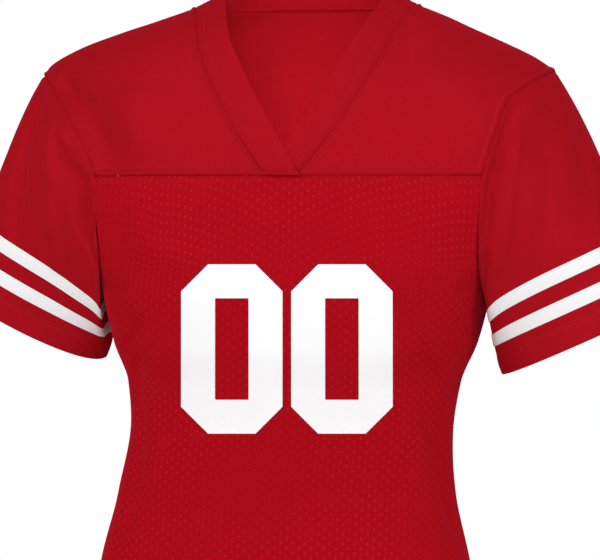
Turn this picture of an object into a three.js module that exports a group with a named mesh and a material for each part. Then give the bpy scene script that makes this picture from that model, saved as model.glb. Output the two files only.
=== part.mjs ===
// A women's cut football jersey, filled out as when it is worn, with nobody in it.
// The mesh body hangs from a smooth yoke, a crossed V band finishes the neck, and each short
// sleeve carries two white stripes. Every piece of cloth is a thin closed wall of its own.
// Millimetres, +Z up. The front faces -Y. The origin lies midway between the two points where
// the shoulder seams meet the neck band, which is where the garment rests on its wearer.
import * as THREE from "three";

// Cloth
const WALL = 1.5; // thickness of a panel
const STRIPE_WALL = 1.0; // thickness of a sleeve stripe
const SEAM_GAP = 0.3; // clear space between two pieces that are sewn together

// Heights of the seams and edges
const HEM_Z = -650;
const ARMPIT_Z = -250;
const FRONT_YOKE_Z = -150;
const BACK_YOKE_Z = -132;
const SHOULDER_TIP_Z = -57;
const NECK_SIDE_Z = 3;

// Neck band
const BAND_WIDTH = 27;
const LAP_LIFT = (WALL + SEAM_GAP) / 2; // the upper end rises and the lower end sinks by this
const LAP_ROWS = 2; // rows of the neck table over which the lap dies out

// Sleeve stripes, as distances up from the cuff's edge
const STRIPES = table(
  ["name", "low", "high"],
  [
    ["lower", 28.2, 40.9],
    ["upper", 55.0, 67.7],
  ],
);
const STRIPE_DIP_STATIONS = 3.2; // stations over which the stripes draw towards the cuff

// How finely each piece is divided
const BODY_COLUMNS = 28;
const BODY_ROWS_BELOW_ARMPIT = 13;
const YOKE_COLUMNS = 12;
const YOKE_STATIONS = 9; // front armhole, from the shoulder tip to the yoke seam
const BODY_STATIONS = 9; // front armhole, from the yoke seam to the armpit
const BACK_YOKE_STATIONS = 7;
const BACK_BODY_STATIONS = 11;
const HALF_ROUND = YOKE_STATIONS + BODY_STATIONS;
const ROUND = 2 * HALF_ROUND;
const UPPER_SLEEVE_ROWS = 8;
const SHOULDER_STEPS = 9;
const BACK_NECK_STEPS = 6; // half of the back neck, from the shoulder seam to the middle
const BAND_COLUMNS = 2;

// The garment's cross-sections. Half width is measured from the section's own middle, which
// the pose moves sideways by shift. Front, side and back are depths along Y, and square
// flattens the front and back of the oval.
const SECTIONS = table(
  ["z", "halfWidth", "front", "side", "back", "shift", "square"],
  [
    [32, 68, -18, 7, 57, 4, 0.0],
    [18, 76, -24, 4, 63, 4, 0.0],
    [3, 100, -36, 0, 70, 4, 0.0],
    [-9, 131, -46, 0, 76, 1, 0.004],
    [-20, 160, -54, 0, 80, -5, 0.012],
    [-35, 196.5, -64, 0, 85, -9.2, 0.022],
    [-48, 220.5, -72, -0.4, 89, -8.4, 0.029],
    [-57, 230.5, -77.4, -1, 91, -5.6, 0.0335],
    [-66, 237.5, -82.4, -1.6, 93, -3.6, 0.0375],
    [-82, 244, -90.6, -2.3, 96, -1.6, 0.044],
    [-100, 245, -98.4, -3, 98, -0.5, 0.05],
    [-125, 236, -106.6, -4, 100, 0, 0.058],
    [-150, 221, -113, -5, 102, 0, 0.066],
    [-200, 193, -124, -7, 103, 0, 0.08],
    [-250, 172.5, -129, -8, 98, -1, 0.08],
    [-297, 161.5, -127, -8, 92, -3, 0.062],
    [-333, 148.5, -118, -8, 85, -5, 0.05],
    [-373, 144.5, -110, -8, 82, -7.5, 0.05],
    [-432, 151.5, -107, -8, 85, -12.5, 0.05],
    [-494, 166, -112, -8, 94, -14, 0.05],
    [-570, 178, -119, -8, 103, -12, 0.045],
    [-650, 188, -124, -8, 109, -11.5, 0.04],
  ],
);

// The armhole seam, from the shoulder tip down to the armpit, as distances from the middle of
// the garment on its right and left. The two sides differ a little, as it hangs.
const ARMHOLE_FRONT = table(
  ["z", "right", "left"],
  [
    [SHOULDER_TIP_Z, 232, 229],
    [-60, 229, 222],
    [-68, 220.5, 210],
    [-81, 210.5, 192.5],
    [-98, 197.5, 184],
    [-122, 182, 176.5],
    [FRONT_YOKE_Z, 167.5, 169],
    [-173, 166.4, 166.8],
    [-196, 164, 165.6],
    [-217, 163.2, 164.8],
    [-234, 164.5, 165.5],
    [-245, 170, 168.5],
    [ARMPIT_Z, 173, 171],
  ],
);
const ARMHOLE_BACK = table(
  ["z", "right", "left"],
  [
    [SHOULDER_TIP_Z, 232, 229],
    [-60, 231, 226],
    [-70, 226, 221],
    [-86, 213, 210],
    [-107, 202, 201],
    [BACK_YOKE_Z, 193, 193],
    [-153, 187, 187],
    [-175, 182, 181.5],
    [-198, 178, 177],
    [-220, 175, 174],
    [-236, 173, 172],
    [-246, 172.5, 171],
    [ARMPIT_Z, 173, 171],
  ],
);
const FRONT_YOKE_ROW = 6;
const BACK_YOKE_ROW = 5;

// The neck band's lower edge (outer) and upper edge (inner) on the front, from the point of
// the V to the side of the neck. The V's ends cross the middle, so two inner values are negative.
const NECK_FRONT = table(
  ["outerX", "outerZ", "innerX", "innerZ"],
  [
    [14, FRONT_YOKE_Z, -14.6, -148.5],
    [36, -120, 11, -107],
    [54, -92, 28.5, -79],
    [69, -66, 42.5, -54],
    [80.5, -42, 55.5, -30],
    [89.5, -18, 67.5, -3],
    [97, NECK_SIDE_Z, 76, 18],
  ],
);
const NECK_LEAN = 4; // how far the neck's top leans to the wearer's left
const LEAN_FROM_Z = -30;
// The same round the back, by the angle from the back middle.
const NECK_BACK = table(
  ["angle", "outerZ", "innerZ"],
  [
    [68, 3, 22],
    [45, 3.5, 26],
    [22, 4, 29],
    [0, 4, 30],
  ],
);

// Where each sleeve ends, in the pose shown. Side -1 is the wearer's right. Tilt is the
// sleeve's lean from straight down, drop lets the front of the cuff hang lower, and stripeDip
// is how far the stripes draw towards the cuff under the arm, where the sleeve is short.
const SLEEVES = table(
  ["name", "side", "x", "y", "z", "tilt", "halfWidth", "halfDepth", "drop", "stripeDip"],
  [
    ["right", -1, -246, -14, -280.5, 26, 75, 46, 6.5, 0.16],
    ["left", 1, 250, -20, -292, 24.5, 75.5, 52, 1.5, 0.03],
  ],
);

// The way the sleeve's cloth sets off from the armhole, at eight places round it.
const SLEEVE_START = table(
  ["turn", "out", "forward", "down"],
  [
    [0, 0.55, 0.0, 0.83],
    [45, 0.65, -0.02, 0.74],
    [90, 0.72, -0.04, 0.66],
    [135, 0.3, 0.0, 0.95],
    [180, 0.2, 0.0, 0.98],
    [225, 0.32, 0.0, 0.94],
    [270, 0.72, 0.0, 0.68],
    [315, 0.64, 0.0, 0.75],
    [360, 0.55, 0.0, 0.83],
  ],
);
const HUG_ROW = 3; // in front of the underarm, where each sleeve has a direction of its own
const SLEEVE_HUG = {
  right: { out: -0.12, forward: 0.3, down: 0.94 },
  left: { out: 0.3, forward: 0.0, down: 0.95 },
};
const CUFF_SQUARE = 0.14; // how far the cuff's oval bulges between its ends
const SLEEVE_FULLNESS = 0.95; // how far that start and the cuff's direction carry

// The largest folds of the body and yokes, from one end to the other, by angle and height.
// Depth is negative for a trough and positive for a ridge, and width is half across.
const BODY_FOLDS = table(
  ["angle1", "z1", "angle2", "z2", "width", "depth"],
  [
    [-56.5, -62, -39.5, -93, 9, -4.5],
    [-41, -86, -33.5, -142, 12, -5.5],
    [-37.5, -274, -56, -346, 9, -3.6],
    [-55, -333, -48.5, -434, 9, -3.8],
    [27.5, -255, 44.5, -318, 11, -3.8],
    [41, -307, 66, -390, 12, -4.8],
    [65.5, -380, 73.5, -460, 11, -3.8],
    [-28.5, -224, -23, -204, 20, 2.5],
    [150, -345, 118, -460, 14, -3.6],
    [-150, -340, -120, -470, 14, -3.6],
    [160, -300, 172, -520, 16, -2.4],
  ],
);

// The same on the sleeves, by the turn round the sleeve from its top and by the share of the
// way from the armhole to the cuff.
const SLEEVE_FOLDS = table(
  ["side", "turn1", "along1", "turn2", "along2", "width", "depth"],
  [
    [-1, 28, 0.05, 38, 0.26, 7, -3.4],
    [-1, 35, 0.22, 54, 0.42, 7, -3.8],
    [-1, 51, 0.38, 66, 0.6, 7, -3.4],
    [-1, 51, 0.08, 73, 0.26, 7, 2.6],
    [-1, 70, 0.23, 98, 0.53, 8, 2.6],
    [-1, 83, 0.08, 107, 0.18, 12, -5.5],
    [-1, 96, 0.05, 126, 0.18, 12, -5.0],
    [-1, 235, 0.15, 225, 0.75, 15, -4.5],
    [-1, 300, 0.2, 310, 0.8, 15, -3.0],
    [1, 41, 0.01, 67, 0.03, 8, -3.4],
    [1, 62, 0.02, 85, 0.04, 9, -4.2],
    [1, 81, 0.04, 112, 0.09, 9, -4.8],
    [1, 107, 0.09, 138, 0.2, 12, -3.2],
    [1, 235, 0.15, 225, 0.75, 15, -4.5],
    [1, 300, 0.2, 310, 0.8, 15, -3.0],
  ],
);
const MM_PER_DEGREE = 2.2; // arc of the body for one degree of angle, for measuring folds
const SLEEVE_MM_PER_TURN_DEGREE = 1.15;
const SLEEVE_MM_ALONG = 200;
const FOLD_RAMP = 0.06; // share of a sleeve over which its folds rise from the armhole

const STEP = 1e-3; // step for finding directions on a surface

// A list of rows with named columns.
function table(columns, rows) {
  return rows.map((row) => Object.fromEntries(columns.map((name, i) => [name, row[i]])));
}

function radians(degrees) {
  return (degrees * Math.PI) / 180;
}

// A smooth value between the rows of a table, where key is the column that x counts along.
function smooth(rows, key, column, x) {
  const rising = rows[rows.length - 1][key] > rows[0][key];
  const ordered = rising ? rows : [...rows].reverse();
  const last = ordered.length - 1;
  const clamped = Math.min(Math.max(x, ordered[0][key]), ordered[last][key]);
  let i = 0;
  while (i < last - 1 && clamped > ordered[i + 1][key]) i += 1;
  const slope = (n) =>
    (ordered[n + 1][column] - ordered[n][column]) / (ordered[n + 1][key] - ordered[n][key]);
  const tangent = (n) => {
    if (n === 0) return slope(0);
    if (n === last) return slope(last - 1);
    const before = slope(n - 1);
    const after = slope(n);
    return before * after <= 0 ? 0 : (2 * before * after) / (before + after);
  };
  const span = ordered[i + 1][key] - ordered[i][key];
  const t = (clamped - ordered[i][key]) / span;
  return hermite(ordered[i][column], ordered[i + 1][column], tangent(i) * span, tangent(i + 1) * span, t);
}

function hermite(a, b, fromA, toB, t) {
  const t2 = t * t;
  const t3 = t2 * t;
  return (2 * t3 - 3 * t2 + 1) * a + (t3 - 2 * t2 + t) * fromA + (3 * t2 - 2 * t3) * b + (t3 - t2) * toB;
}

// A smooth value along a table's rows, counted by row number.
function alongRows(rows, column, position) {
  const last = rows.length - 1;
  const i = Math.min(Math.max(Math.floor(position), 0), last - 1);
  const value = (n) => rows[Math.min(Math.max(n, 0), last)][column];
  const fromA = i === 0 ? value(1) - value(0) : (value(i + 1) - value(i - 1)) / 2;
  const toB = i + 1 === last ? value(last) - value(last - 1) : (value(i + 2) - value(i)) / 2;
  return hermite(value(i), value(i + 1), fromA, toB, position - i);
}

// How far a fold lifts or sinks the cloth at a place (u, v), both in millimetres on the cloth.
function foldLift(u, v, u1, v1, u2, v2, width, depth) {
  const du = u2 - u1;
  const dv = v2 - v1;
  const length2 = du * du + dv * dv;
  const along = ((u - u1) * du + (v - v1) * dv) / length2;
  const nearest = Math.min(Math.max(along, 0), 1);
  const away = Math.hypot(u - u1 - nearest * du, v - v1 - nearest * dv);
  const taper = Math.sin(Math.PI * Math.min(Math.max(0.12 + 0.76 * along, 0), 1));
  return depth * Math.max(taper, 0) * Math.exp(-((away / width) ** 2));
}

// The section's oval at a height: the share of half width and of depth at an angle.
function ovalShares(angle, square) {
  return [
    (Math.sin(angle) + square * Math.sin(3 * angle)) / (1 - square),
    (Math.cos(angle) - square * Math.cos(3 * angle)) / (1 - square),
  ];
}

// A point of the smooth garment form, by the angle from the front middle and the height.
function formPoint(angleDegrees, z) {
  const at = (column) => smooth(SECTIONS, "z", column, z);
  const [across, deep] = ovalShares(radians(angleDegrees), at("square"));
  const side = at("side");
  const y = side + (deep > 0 ? deep * (at("front") - side) : -deep * (at("back") - side));
  return new THREE.Vector3(at("shift") + at("halfWidth") * across, y, z);
}

function formNormal(angle, z) {
  const point = formPoint(angle, z);
  const round = formPoint(angle + STEP * 10, z).sub(point);
  const up = formPoint(angle, z + STEP * 10).sub(point);
  return round.cross(up).normalize();
}

function bodyFolds(angle, z) {
  return BODY_FOLDS.reduce((sum, f) => {
    const turned = angle - 360 * Math.round((angle - (f.angle1 + f.angle2) / 2) / 360);
    const [u, u1, u2] = [turned, f.angle1, f.angle2].map((a) => a * MM_PER_DEGREE);
    return sum + foldLift(u, z, u1, f.z1, u2, f.z2, f.width, f.depth);
  }, 0);
}

// The outside of the garment: the form with its folds.
function bodyPoint(angle, z) {
  return formPoint(angle, z).addScaledVector(formNormal(angle, z), bodyFolds(angle, z));
}

function bodyNormal(angle, z) {
  const point = bodyPoint(angle, z);
  const round = bodyPoint(angle + STEP * 50, z).sub(point);
  const up = bodyPoint(angle, z + STEP * 50).sub(point);
  return round.cross(up).normalize();
}

// The angle of the place on the front at a distance x from the middle plane, at height z.
function frontAngle(x, z) {
  const share = (x - smooth(SECTIONS, "z", "shift", z)) / smooth(SECTIONS, "z", "halfWidth", z);
  const square = smooth(SECTIONS, "z", "square", z);
  let low = 0;
  let high = 90;
  for (let n = 0; n < 40; n += 1) {
    const middle = (low + high) / 2;
    if (ovalShares(radians(middle), square)[0] < Math.abs(share)) low = middle;
    else high = middle;
  }
  return Math.sign(share) * ((low + high) / 2);
}

// The armhole rows of one side as angles, which reach the side seam at both ends.
function armholeAngles(rows, column, side) {
  return rows.map((r, i) => {
    const onSide = i === 0 || i === rows.length - 1;
    return { z: r.z, angle: onSide ? side * 90 : frontAngle(side * r[column], r.z) };
  });
}
const ARMHOLES = new Map(
  [
    [-1, "right"],
    [1, "left"],
  ].map(([side, column]) => [
    side,
    { front: armholeAngles(ARMHOLE_FRONT, column, side), back: armholeAngles(ARMHOLE_BACK, column, side) },
  ]),
);

// A place on an armhole seam, counted in stations from the shoulder tip, down the front to
// the armpit at HALF_ROUND, and up the back to ROUND. The angle is signed by the side.
function armholePlace(side, station) {
  const turned = ((station % ROUND) + ROUND) % ROUND;
  const isBack = turned > HALF_ROUND;
  const rows = isBack ? ARMHOLES.get(side).back : ARMHOLES.get(side).front;
  const yokeRow = isBack ? BACK_YOKE_ROW : FRONT_YOKE_ROW;
  const yokeStations = isBack ? BACK_YOKE_STATIONS : YOKE_STATIONS;
  const fromTip = isBack ? ROUND - turned : turned;
  const row =
    fromTip <= yokeStations
      ? (fromTip / yokeStations) * yokeRow
      : yokeRow + ((fromTip - yokeStations) / (HALF_ROUND - yokeStations)) * (rows.length - 1 - yokeRow);
  const angle = alongRows(rows, "angle", row);
  return [isBack ? side * 180 - angle : angle, alongRows(rows, "z", row)];
}

function armholePoint(side, station) {
  const [angle, z] = armholePlace(side, station);
  return bodyPoint(angle, z);
}

// The direction of the seam at a station, on the way down the front.
function alongArmhole(side, station) {
  return armholePoint(side, station + 0.05).sub(armholePoint(side, station - 0.05)).normalize();
}

// The way the sleeve's cloth sets off at a station.
function sleeveStart(sleeve, station) {
  const turn = ((((station / ROUND) * 360) % 360) + 360) % 360;
  const value = (n, column) => (n === HUG_ROW ? SLEEVE_HUG[sleeve.name] : SLEEVE_START[n])[column];
  const at = (column) => {
    const i = Math.min(Math.floor(turn / 45), 7);
    const ease = (1 - Math.cos(Math.PI * (turn / 45 - i))) / 2;
    return value(i, column) * (1 - ease) + value(i + 1, column) * ease;
  };
  return new THREE.Vector3(sleeve.side * at("out"), -at("forward"), -at("down")).normalize();
}

// The body and sleeve walls at the armhole: the gap between them, and the directions of
// thickness, mitred where the cloth bends outwards so that the walls stay clear of each other.
function armholeJoint(sleeve, station) {
  const [angle, z] = armholePlace(sleeve.side, station);
  const seam = alongArmhole(sleeve.side, station);
  const start = sleeveStart(sleeve, station);
  const body = bodyNormal(angle, z);
  const past = seam.clone().cross(body).multiplyScalar(-sleeve.side).normalize();
  const cloth = seam.clone().cross(start).multiplyScalar(sleeve.side).normalize();
  const bend = Math.atan2(start.dot(body), start.dot(past));
  const gap = past
    .clone()
    .multiplyScalar(Math.cos(bend / 2))
    .addScaledVector(body, Math.sin(bend / 2))
    .multiplyScalar(SEAM_GAP + 0.1);
  if (bend >= 0) return { gap, bodyInward: body, sleeveInward: cloth };
  const mitre = body.clone().add(cloth).divideScalar(1 + body.dot(cloth));
  return { gap, bodyInward: mitre, sleeveInward: mitre };
}

// The cuff's edge at a station.
function cuffPoint(sleeve, station) {
  const turn = radians((station / ROUND) * 360);
  const tilt = radians(sleeve.tilt);
  const across = new THREE.Vector3(sleeve.side * Math.cos(tilt), 0, Math.sin(tilt));
  const down = new THREE.Vector3(sleeve.side * Math.sin(tilt), 0, -Math.cos(tilt));
  return new THREE.Vector3(sleeve.x, sleeve.y, sleeve.z)
    .addScaledVector(across, sleeve.halfWidth * Math.cos(turn) * (1 + CUFF_SQUARE * Math.sin(turn) ** 2))
    .addScaledVector(new THREE.Vector3(0, -1, 0), sleeve.halfDepth * Math.sin(turn))
    .addScaledVector(down, sleeve.drop * Math.max(Math.sin(turn), 0));
}

// The sleeve's smooth form: a curve at each station from the armhole to the cuff.
function sleeveFormPoint(sleeve, station, share) {
  const from = armholePoint(sleeve.side, station);
  const to = cuffPoint(sleeve, station);
  const reach = from.distanceTo(to) * SLEEVE_FULLNESS;
  const tilt = radians(sleeve.tilt);
  const start = sleeveStart(sleeve, station).multiplyScalar(reach);
  const end = new THREE.Vector3(sleeve.side * Math.sin(tilt), 0, -Math.cos(tilt)).multiplyScalar(reach);
  return new THREE.Vector3(
    hermite(from.x, to.x, start.x, end.x, share),
    hermite(from.y, to.y, start.y, end.y, share),
    hermite(from.z, to.z, start.z, end.z, share),
  );
}

function normalOf(surface, station, share, side) {
  const low = Math.min(Math.max(share, 0), 1 - STEP);
  const round = surface(station + STEP * 20, share).sub(surface(station - STEP * 20, share));
  const down = surface(station, low + STEP).sub(surface(station, low));
  return round.cross(down).multiplyScalar(side).normalize();
}

function sleeveFolds(sleeve, station, share) {
  const turn = (station / ROUND) * 360;
  return SLEEVE_FOLDS.filter((f) => f.side === sleeve.side).reduce(
    (sum, f) =>
      sum +
      foldLift(
        turn * SLEEVE_MM_PER_TURN_DEGREE,
        share * SLEEVE_MM_ALONG,
        f.turn1 * SLEEVE_MM_PER_TURN_DEGREE,
        f.along1 * SLEEVE_MM_ALONG,
        f.turn2 * SLEEVE_MM_PER_TURN_DEGREE,
        f.along2 * SLEEVE_MM_ALONG,
        f.width,
        f.depth * Math.min(share / FOLD_RAMP, 1),
      ),
    0,
  );
}

function sleevePoint(sleeve, station, share) {
  const form = (s, t) => sleeveFormPoint(sleeve, s, t);
  const turned = ((station % ROUND) + ROUND) % ROUND;
  return form(turned, share).addScaledVector(
    normalOf(form, turned, share, sleeve.side),
    sleeveFolds(sleeve, turned, share),
  );
}

// The share of the way down a sleeve at which a station is a given length from the cuff.
function shareAbove(sleeve, station, length) {
  const whole = sleeveFormPoint(sleeve, station, 0).distanceTo(sleeveFormPoint(sleeve, station, 1));
  let share = 1;
  let walked = 0;
  const pieces = 60;
  let here = sleeveFormPoint(sleeve, station, 1);
  while (share > 1 / pieces && walked < length) {
    share -= 1 / pieces;
    const next = sleeveFormPoint(sleeve, station, share);
    walked += next.distanceTo(here);
    here = next;
  }
  return share + (walked - length) / whole;
}

// A stripe's distance from the cuff at a station.
function stripeLength(sleeve, length, station) {
  const near = Math.exp(-(((station - HALF_ROUND) / STRIPE_DIP_STATIONS) ** 2));
  return length * (1 - sleeve.stripeDip * near);
}

// A closed wall between a grid of outer points and a grid of inner points. Where round is
// true the last column joins the first.
function wall(outer, inner, round = false) {
  const rows = outer.length;
  const columns = outer[0].length;
  const points = [...outer.flat(), ...inner.flat()];
  const layer = rows * columns;
  const at = (i, j, deep) => deep * layer + i * columns + (j % columns);
  const faces = [];
  const quad = (a, b, c, d) => faces.push(a, b, c, a, c, d);
  const across = round ? columns : columns - 1;
  for (let i = 0; i < rows - 1; i += 1) {
    for (let j = 0; j < across; j += 1) {
      quad(at(i, j, 0), at(i, j + 1, 0), at(i + 1, j + 1, 0), at(i + 1, j, 0));
      quad(at(i, j, 1), at(i + 1, j, 1), at(i + 1, j + 1, 1), at(i, j + 1, 1));
    }
    if (!round) {
      quad(at(i, 0, 0), at(i + 1, 0, 0), at(i + 1, 0, 1), at(i, 0, 1));
      quad(at(i, across, 0), at(i, across, 1), at(i + 1, across, 1), at(i + 1, across, 0));
    }
  }
  for (let j = 0; j < across; j += 1) {
    quad(at(0, j, 0), at(0, j, 1), at(0, j + 1, 1), at(0, j + 1, 0));
    quad(at(rows - 1, j, 0), at(rows - 1, j + 1, 0), at(rows - 1, j + 1, 1), at(rows - 1, j, 1));
  }
  const geometry = new THREE.BufferGeometry().setFromPoints(points);
  geometry.setIndex(signedVolume(points, faces) < 0 ? flipped(faces) : faces);
  geometry.computeVertexNormals();
  return geometry;
}

function signedVolume(points, faces) {
  let volume = 0;
  for (let i = 0; i < faces.length; i += 3) {
    const [a, b, c] = [points[faces[i]], points[faces[i + 1]], points[faces[i + 2]]];
    volume += a.dot(b.clone().cross(c)) / 6;
  }
  return volume;
}

function flipped(faces) {
  const turned = [...faces];
  for (let i = 0; i < turned.length; i += 3) [turned[i + 1], turned[i + 2]] = [turned[i + 2], turned[i + 1]];
  return turned;
}

// A panel of the body or yokes from a grid of places on the form. Each place holds an angle,
// a height, and, on an armhole, the direction of its thickness.
function panel(places) {
  const outer = places.map((row) => row.map((p) => bodyPoint(p.angle, p.z)));
  const inner = places.map((row, i) =>
    row.map((p, j) => outer[i][j].clone().addScaledVector(p.inward ?? bodyNormal(p.angle, p.z), -WALL)),
  );
  return wall(outer, inner);
}

const sleeveOn = (side) => SLEEVES.find((s) => s.side === side);

// A place on an armhole seam, with the direction in which the body's wall is thick there.
function armholeEdge(side, station) {
  const [angle, z] = armholePlace(side, station);
  return { angle, z, inward: armholeJoint(sleeveOn(side), station).bodyInward };
}

// The angle that keeps a seam gap at the side or shoulder, where the back starts.
function backSeamAngle(z) {
  const depth = smooth(SECTIONS, "z", "back", z) - smooth(SECTIONS, "z", "side", z);
  return 90 + (SEAM_GAP / depth) * (180 / Math.PI);
}

function mix(a, b, t) {
  return a * (1 - t) + b * t;
}

// Front or back body: rows from the hem to the armpit, then up the armholes to the yoke seam.
// Above the armpit a row's ends follow the armholes, and its middle keeps to even steps.
function bodyPanel(isBack) {
  const stations = isBack ? BACK_BODY_STATIONS : BODY_STATIONS;
  const seamZ = isBack ? BACK_YOKE_Z : FRONT_YOKE_Z;
  const turned = (angle) => (isBack ? (angle < 0 ? angle + 360 : angle) : angle);
  const places = [];
  const row = (z, first, last) => {
    const line = [];
    for (let j = 0; j <= BODY_COLUMNS; j += 1) {
      const across = j / BODY_COLUMNS;
      const edge = Math.abs(2 * across - 1) ** 3;
      const end = across < 0.5 ? first : last;
      line.push({ angle: mix(turned(first.angle), turned(last.angle), across), z: mix(z, end.z, edge) });
    }
    line[0].inward = first.inward;
    line[BODY_COLUMNS].inward = last.inward;
    places.push(line);
  };
  const firstSide = isBack ? 1 : -1;
  for (let i = 0; i < BODY_ROWS_BELOW_ARMPIT; i += 1) {
    const z = mix(HEM_Z, ARMPIT_Z, i / BODY_ROWS_BELOW_ARMPIT);
    const angle = isBack ? backSeamAngle(z) : 90;
    row(z, { angle: firstSide * angle, z }, { angle: -firstSide * angle, z });
  }
  for (let i = 0; i <= stations; i += 1) {
    const station = isBack ? HALF_ROUND + i : HALF_ROUND - i;
    const ends = [firstSide, -firstSide].map((side) => {
      const end = armholeEdge(side, station);
      if (isBack && i === 0) end.angle = side * backSeamAngle(end.z);
      return end;
    });
    row(mix(ARMPIT_Z, seamZ, i / stations), ends[0], ends[1]);
  }
  return panel(places);
}

// A place on the neck band, by row from the V's point to the middle of the back, and by the
// share of the way across from its lower edge.
function neckPlace(side, row, across = 0) {
  const frontRows = NECK_FRONT.length - 1;
  const at = (rows, column, r) => alongRows(rows, column, r);
  if (row < frontRows) {
    const x = mix(at(NECK_FRONT, "outerX", row), at(NECK_FRONT, "innerX", row), across);
    const z = mix(at(NECK_FRONT, "outerZ", row), at(NECK_FRONT, "innerZ", row), across);
    const lean = NECK_LEAN * Math.min(Math.max((z - LEAN_FROM_Z) / (NECK_SIDE_Z - LEAN_FROM_Z), 0), 1);
    return { angle: frontAngle(side * x + lean, z), z };
  }
  const first = NECK_FRONT[frontRows];
  const rows = [{ angle: 90, outerZ: first.outerZ, innerZ: first.innerZ }, ...NECK_BACK];
  const back = row - frontRows;
  const z = mix(at(rows, "outerZ", back), at(rows, "innerZ", back), across);
  return { angle: side * (180 - at(rows, "angle", back)), z };
}

// A place inside a panel, blended from its four edges by two of its coordinates.
function blended(inner, outer, low, high, out, up, keys) {
  const one = (key) => {
    const edges = mix(inner[key], outer[key], out) + mix(low[key], high[key], up);
    const lowCorners = mix(low.inner[key], low.outer[key], out);
    const highCorners = mix(high.inner[key], high.outer[key], out);
    return edges - mix(lowCorners, highCorners, up);
  };
  return Object.fromEntries(keys.map((key) => [key, one(key)]));
}

// An edge of a panel that runs between two corners, at a share of the way out.
function edgeBetween(inner, outer, out, keys) {
  return { inner, outer, ...Object.fromEntries(keys.map((key) => [key, mix(inner[key], outer[key], out)])) };
}

// Front yoke on one side of the V.
function frontYoke(side) {
  const keys = ["angle", "z"];
  const neckRows = NECK_FRONT.length - 1;
  const places = [];
  for (let i = 0; i <= YOKE_STATIONS; i += 1) {
    const up = i / YOKE_STATIONS;
    const neck = neckPlace(side, up * neckRows);
    const hole = armholeEdge(side, YOKE_STATIONS - i);
    const line = [];
    for (let j = 0; j <= YOKE_COLUMNS; j += 1) {
      const out = j / YOKE_COLUMNS;
      const low = edgeBetween(neckPlace(side, 0), armholeEdge(side, YOKE_STATIONS), out, keys);
      const high = edgeBetween(neckPlace(side, neckRows), armholeEdge(side, 0), out, keys);
      const place = blended(neck, hole, low, high, out, up, keys);
      if (i === 0) place.z += SEAM_GAP;
      if (j === YOKE_COLUMNS) place.inward = hole.inward;
      line.push(place);
    }
    places.push(line);
  }
  return panel(places);
}

// Back yoke: one piece from armhole to armhole. Its upper edge runs along a shoulder seam, round
// the back of the neck, and along the other shoulder seam.
function backYoke() {
  const keys = ["x", "z"];
  const half = SHOULDER_STEPS + BACK_NECK_STEPS;
  const rows = BACK_YOKE_STATIONS;
  const neckRows = NECK_FRONT.length - 1;
  const seen = (place) => ({ ...place, x: formPoint(place.angle, place.z).x });
  const topPlace = (side, step) => {
    if (step < BACK_NECK_STEPS)
      return seen(neckPlace(side, neckRows + NECK_BACK.length * (1 - step / BACK_NECK_STEPS)));
    const z = mix(NECK_SIDE_Z, SHOULDER_TIP_Z, (step - BACK_NECK_STEPS) / SHOULDER_STEPS);
    return seen({ angle: side * 90, z });
  };
  const places = [];
  for (let i = 0; i <= rows; i += 1) {
    const up = i / rows;
    const line = [];
    for (let j = -half; j <= half; j += 1) {
      const side = j < 0 ? -1 : 1;
      const step = Math.abs(j);
      const out = step / half;
      const hole = seen(armholeEdge(side, ROUND - (rows - i)));
      const top = topPlace(side, step);
      const middleTop = topPlace(side, 0);
      const middle = seen({ angle: 180, z: mix(BACK_YOKE_Z, middleTop.z, up) });
      const low = edgeBetween(
        seen({ angle: 180, z: BACK_YOKE_Z }), seen(armholeEdge(side, ROUND - rows)), out, keys,
      );
      const high = { ...top, inner: middleTop, outer: seen(armholeEdge(side, ROUND)) };
      const place = blended(middle, hole, low, high, out, up, keys);
      if (i === 0) place.z += SEAM_GAP;
      const limit = 180 - backSeamAngle(place.z);
      place.angle = 180 - Math.min(Math.max(frontAngle(place.x, place.z), -limit), limit);
      if (step === half) place.inward = hole.inward;
      line.push(place);
    }
    places.push(line);
  }
  return panel(places);
}

// Neck band: one strip from the end that laps on top, round the back, to the end underneath.
function neckBand() {
  const frontRows = NECK_FRONT.length - 1;
  const steps = YOKE_STATIONS + BACK_NECK_STEPS;
  const outer = [];
  const inner = [];
  for (let i = 0; i <= 2 * steps; i += 1) {
    const side = i < steps ? -1 : 1;
    const step = side < 0 ? i : 2 * steps - i;
    const row =
      step <= YOKE_STATIONS
        ? (step / YOKE_STATIONS) * frontRows
        : frontRows + ((step - YOKE_STATIONS) / BACK_NECK_STEPS) * NECK_BACK.length;
    const lap = -side * LAP_LIFT * Math.max(0, 1 - row / LAP_ROWS);
    const outerLine = [];
    const innerLine = [];
    for (let j = 0; j <= BAND_COLUMNS; j += 1) {
      const place = neckPlace(side, row, mix(SEAM_GAP / BAND_WIDTH, 1, j / BAND_COLUMNS));
      const angle = place.angle;
      const z = place.z + (row === 0 ? SEAM_GAP : 0);
      const normal = bodyNormal(angle, z);
      const point = bodyPoint(angle, z).addScaledVector(normal, lap);
      outerLine.push(point);
      innerLine.push(point.clone().addScaledVector(normal, -WALL));
    }
    outer.push(outerLine);
    inner.push(innerLine);
  }
  return wall(outer, inner);
}

// The rows of a sleeve, as lengths up from the cuff's edge, where null stands for the
// rows above the stripes, which are shared out up to the armhole.
function sleeveShares(sleeve, station) {
  const fixed = [0, ...STRIPES.flatMap((s) => [s.low, s.high])];
  const shares = fixed.map((length) =>
    length === 0 ? 1 : shareAbove(sleeve, station, stripeLength(sleeve, length, station)),
  );
  const top = shares[shares.length - 1];
  for (let i = 1; i <= UPPER_SLEEVE_ROWS; i += 1) shares.push(top * (1 - i / UPPER_SLEEVE_ROWS));
  return shares;
}

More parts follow.
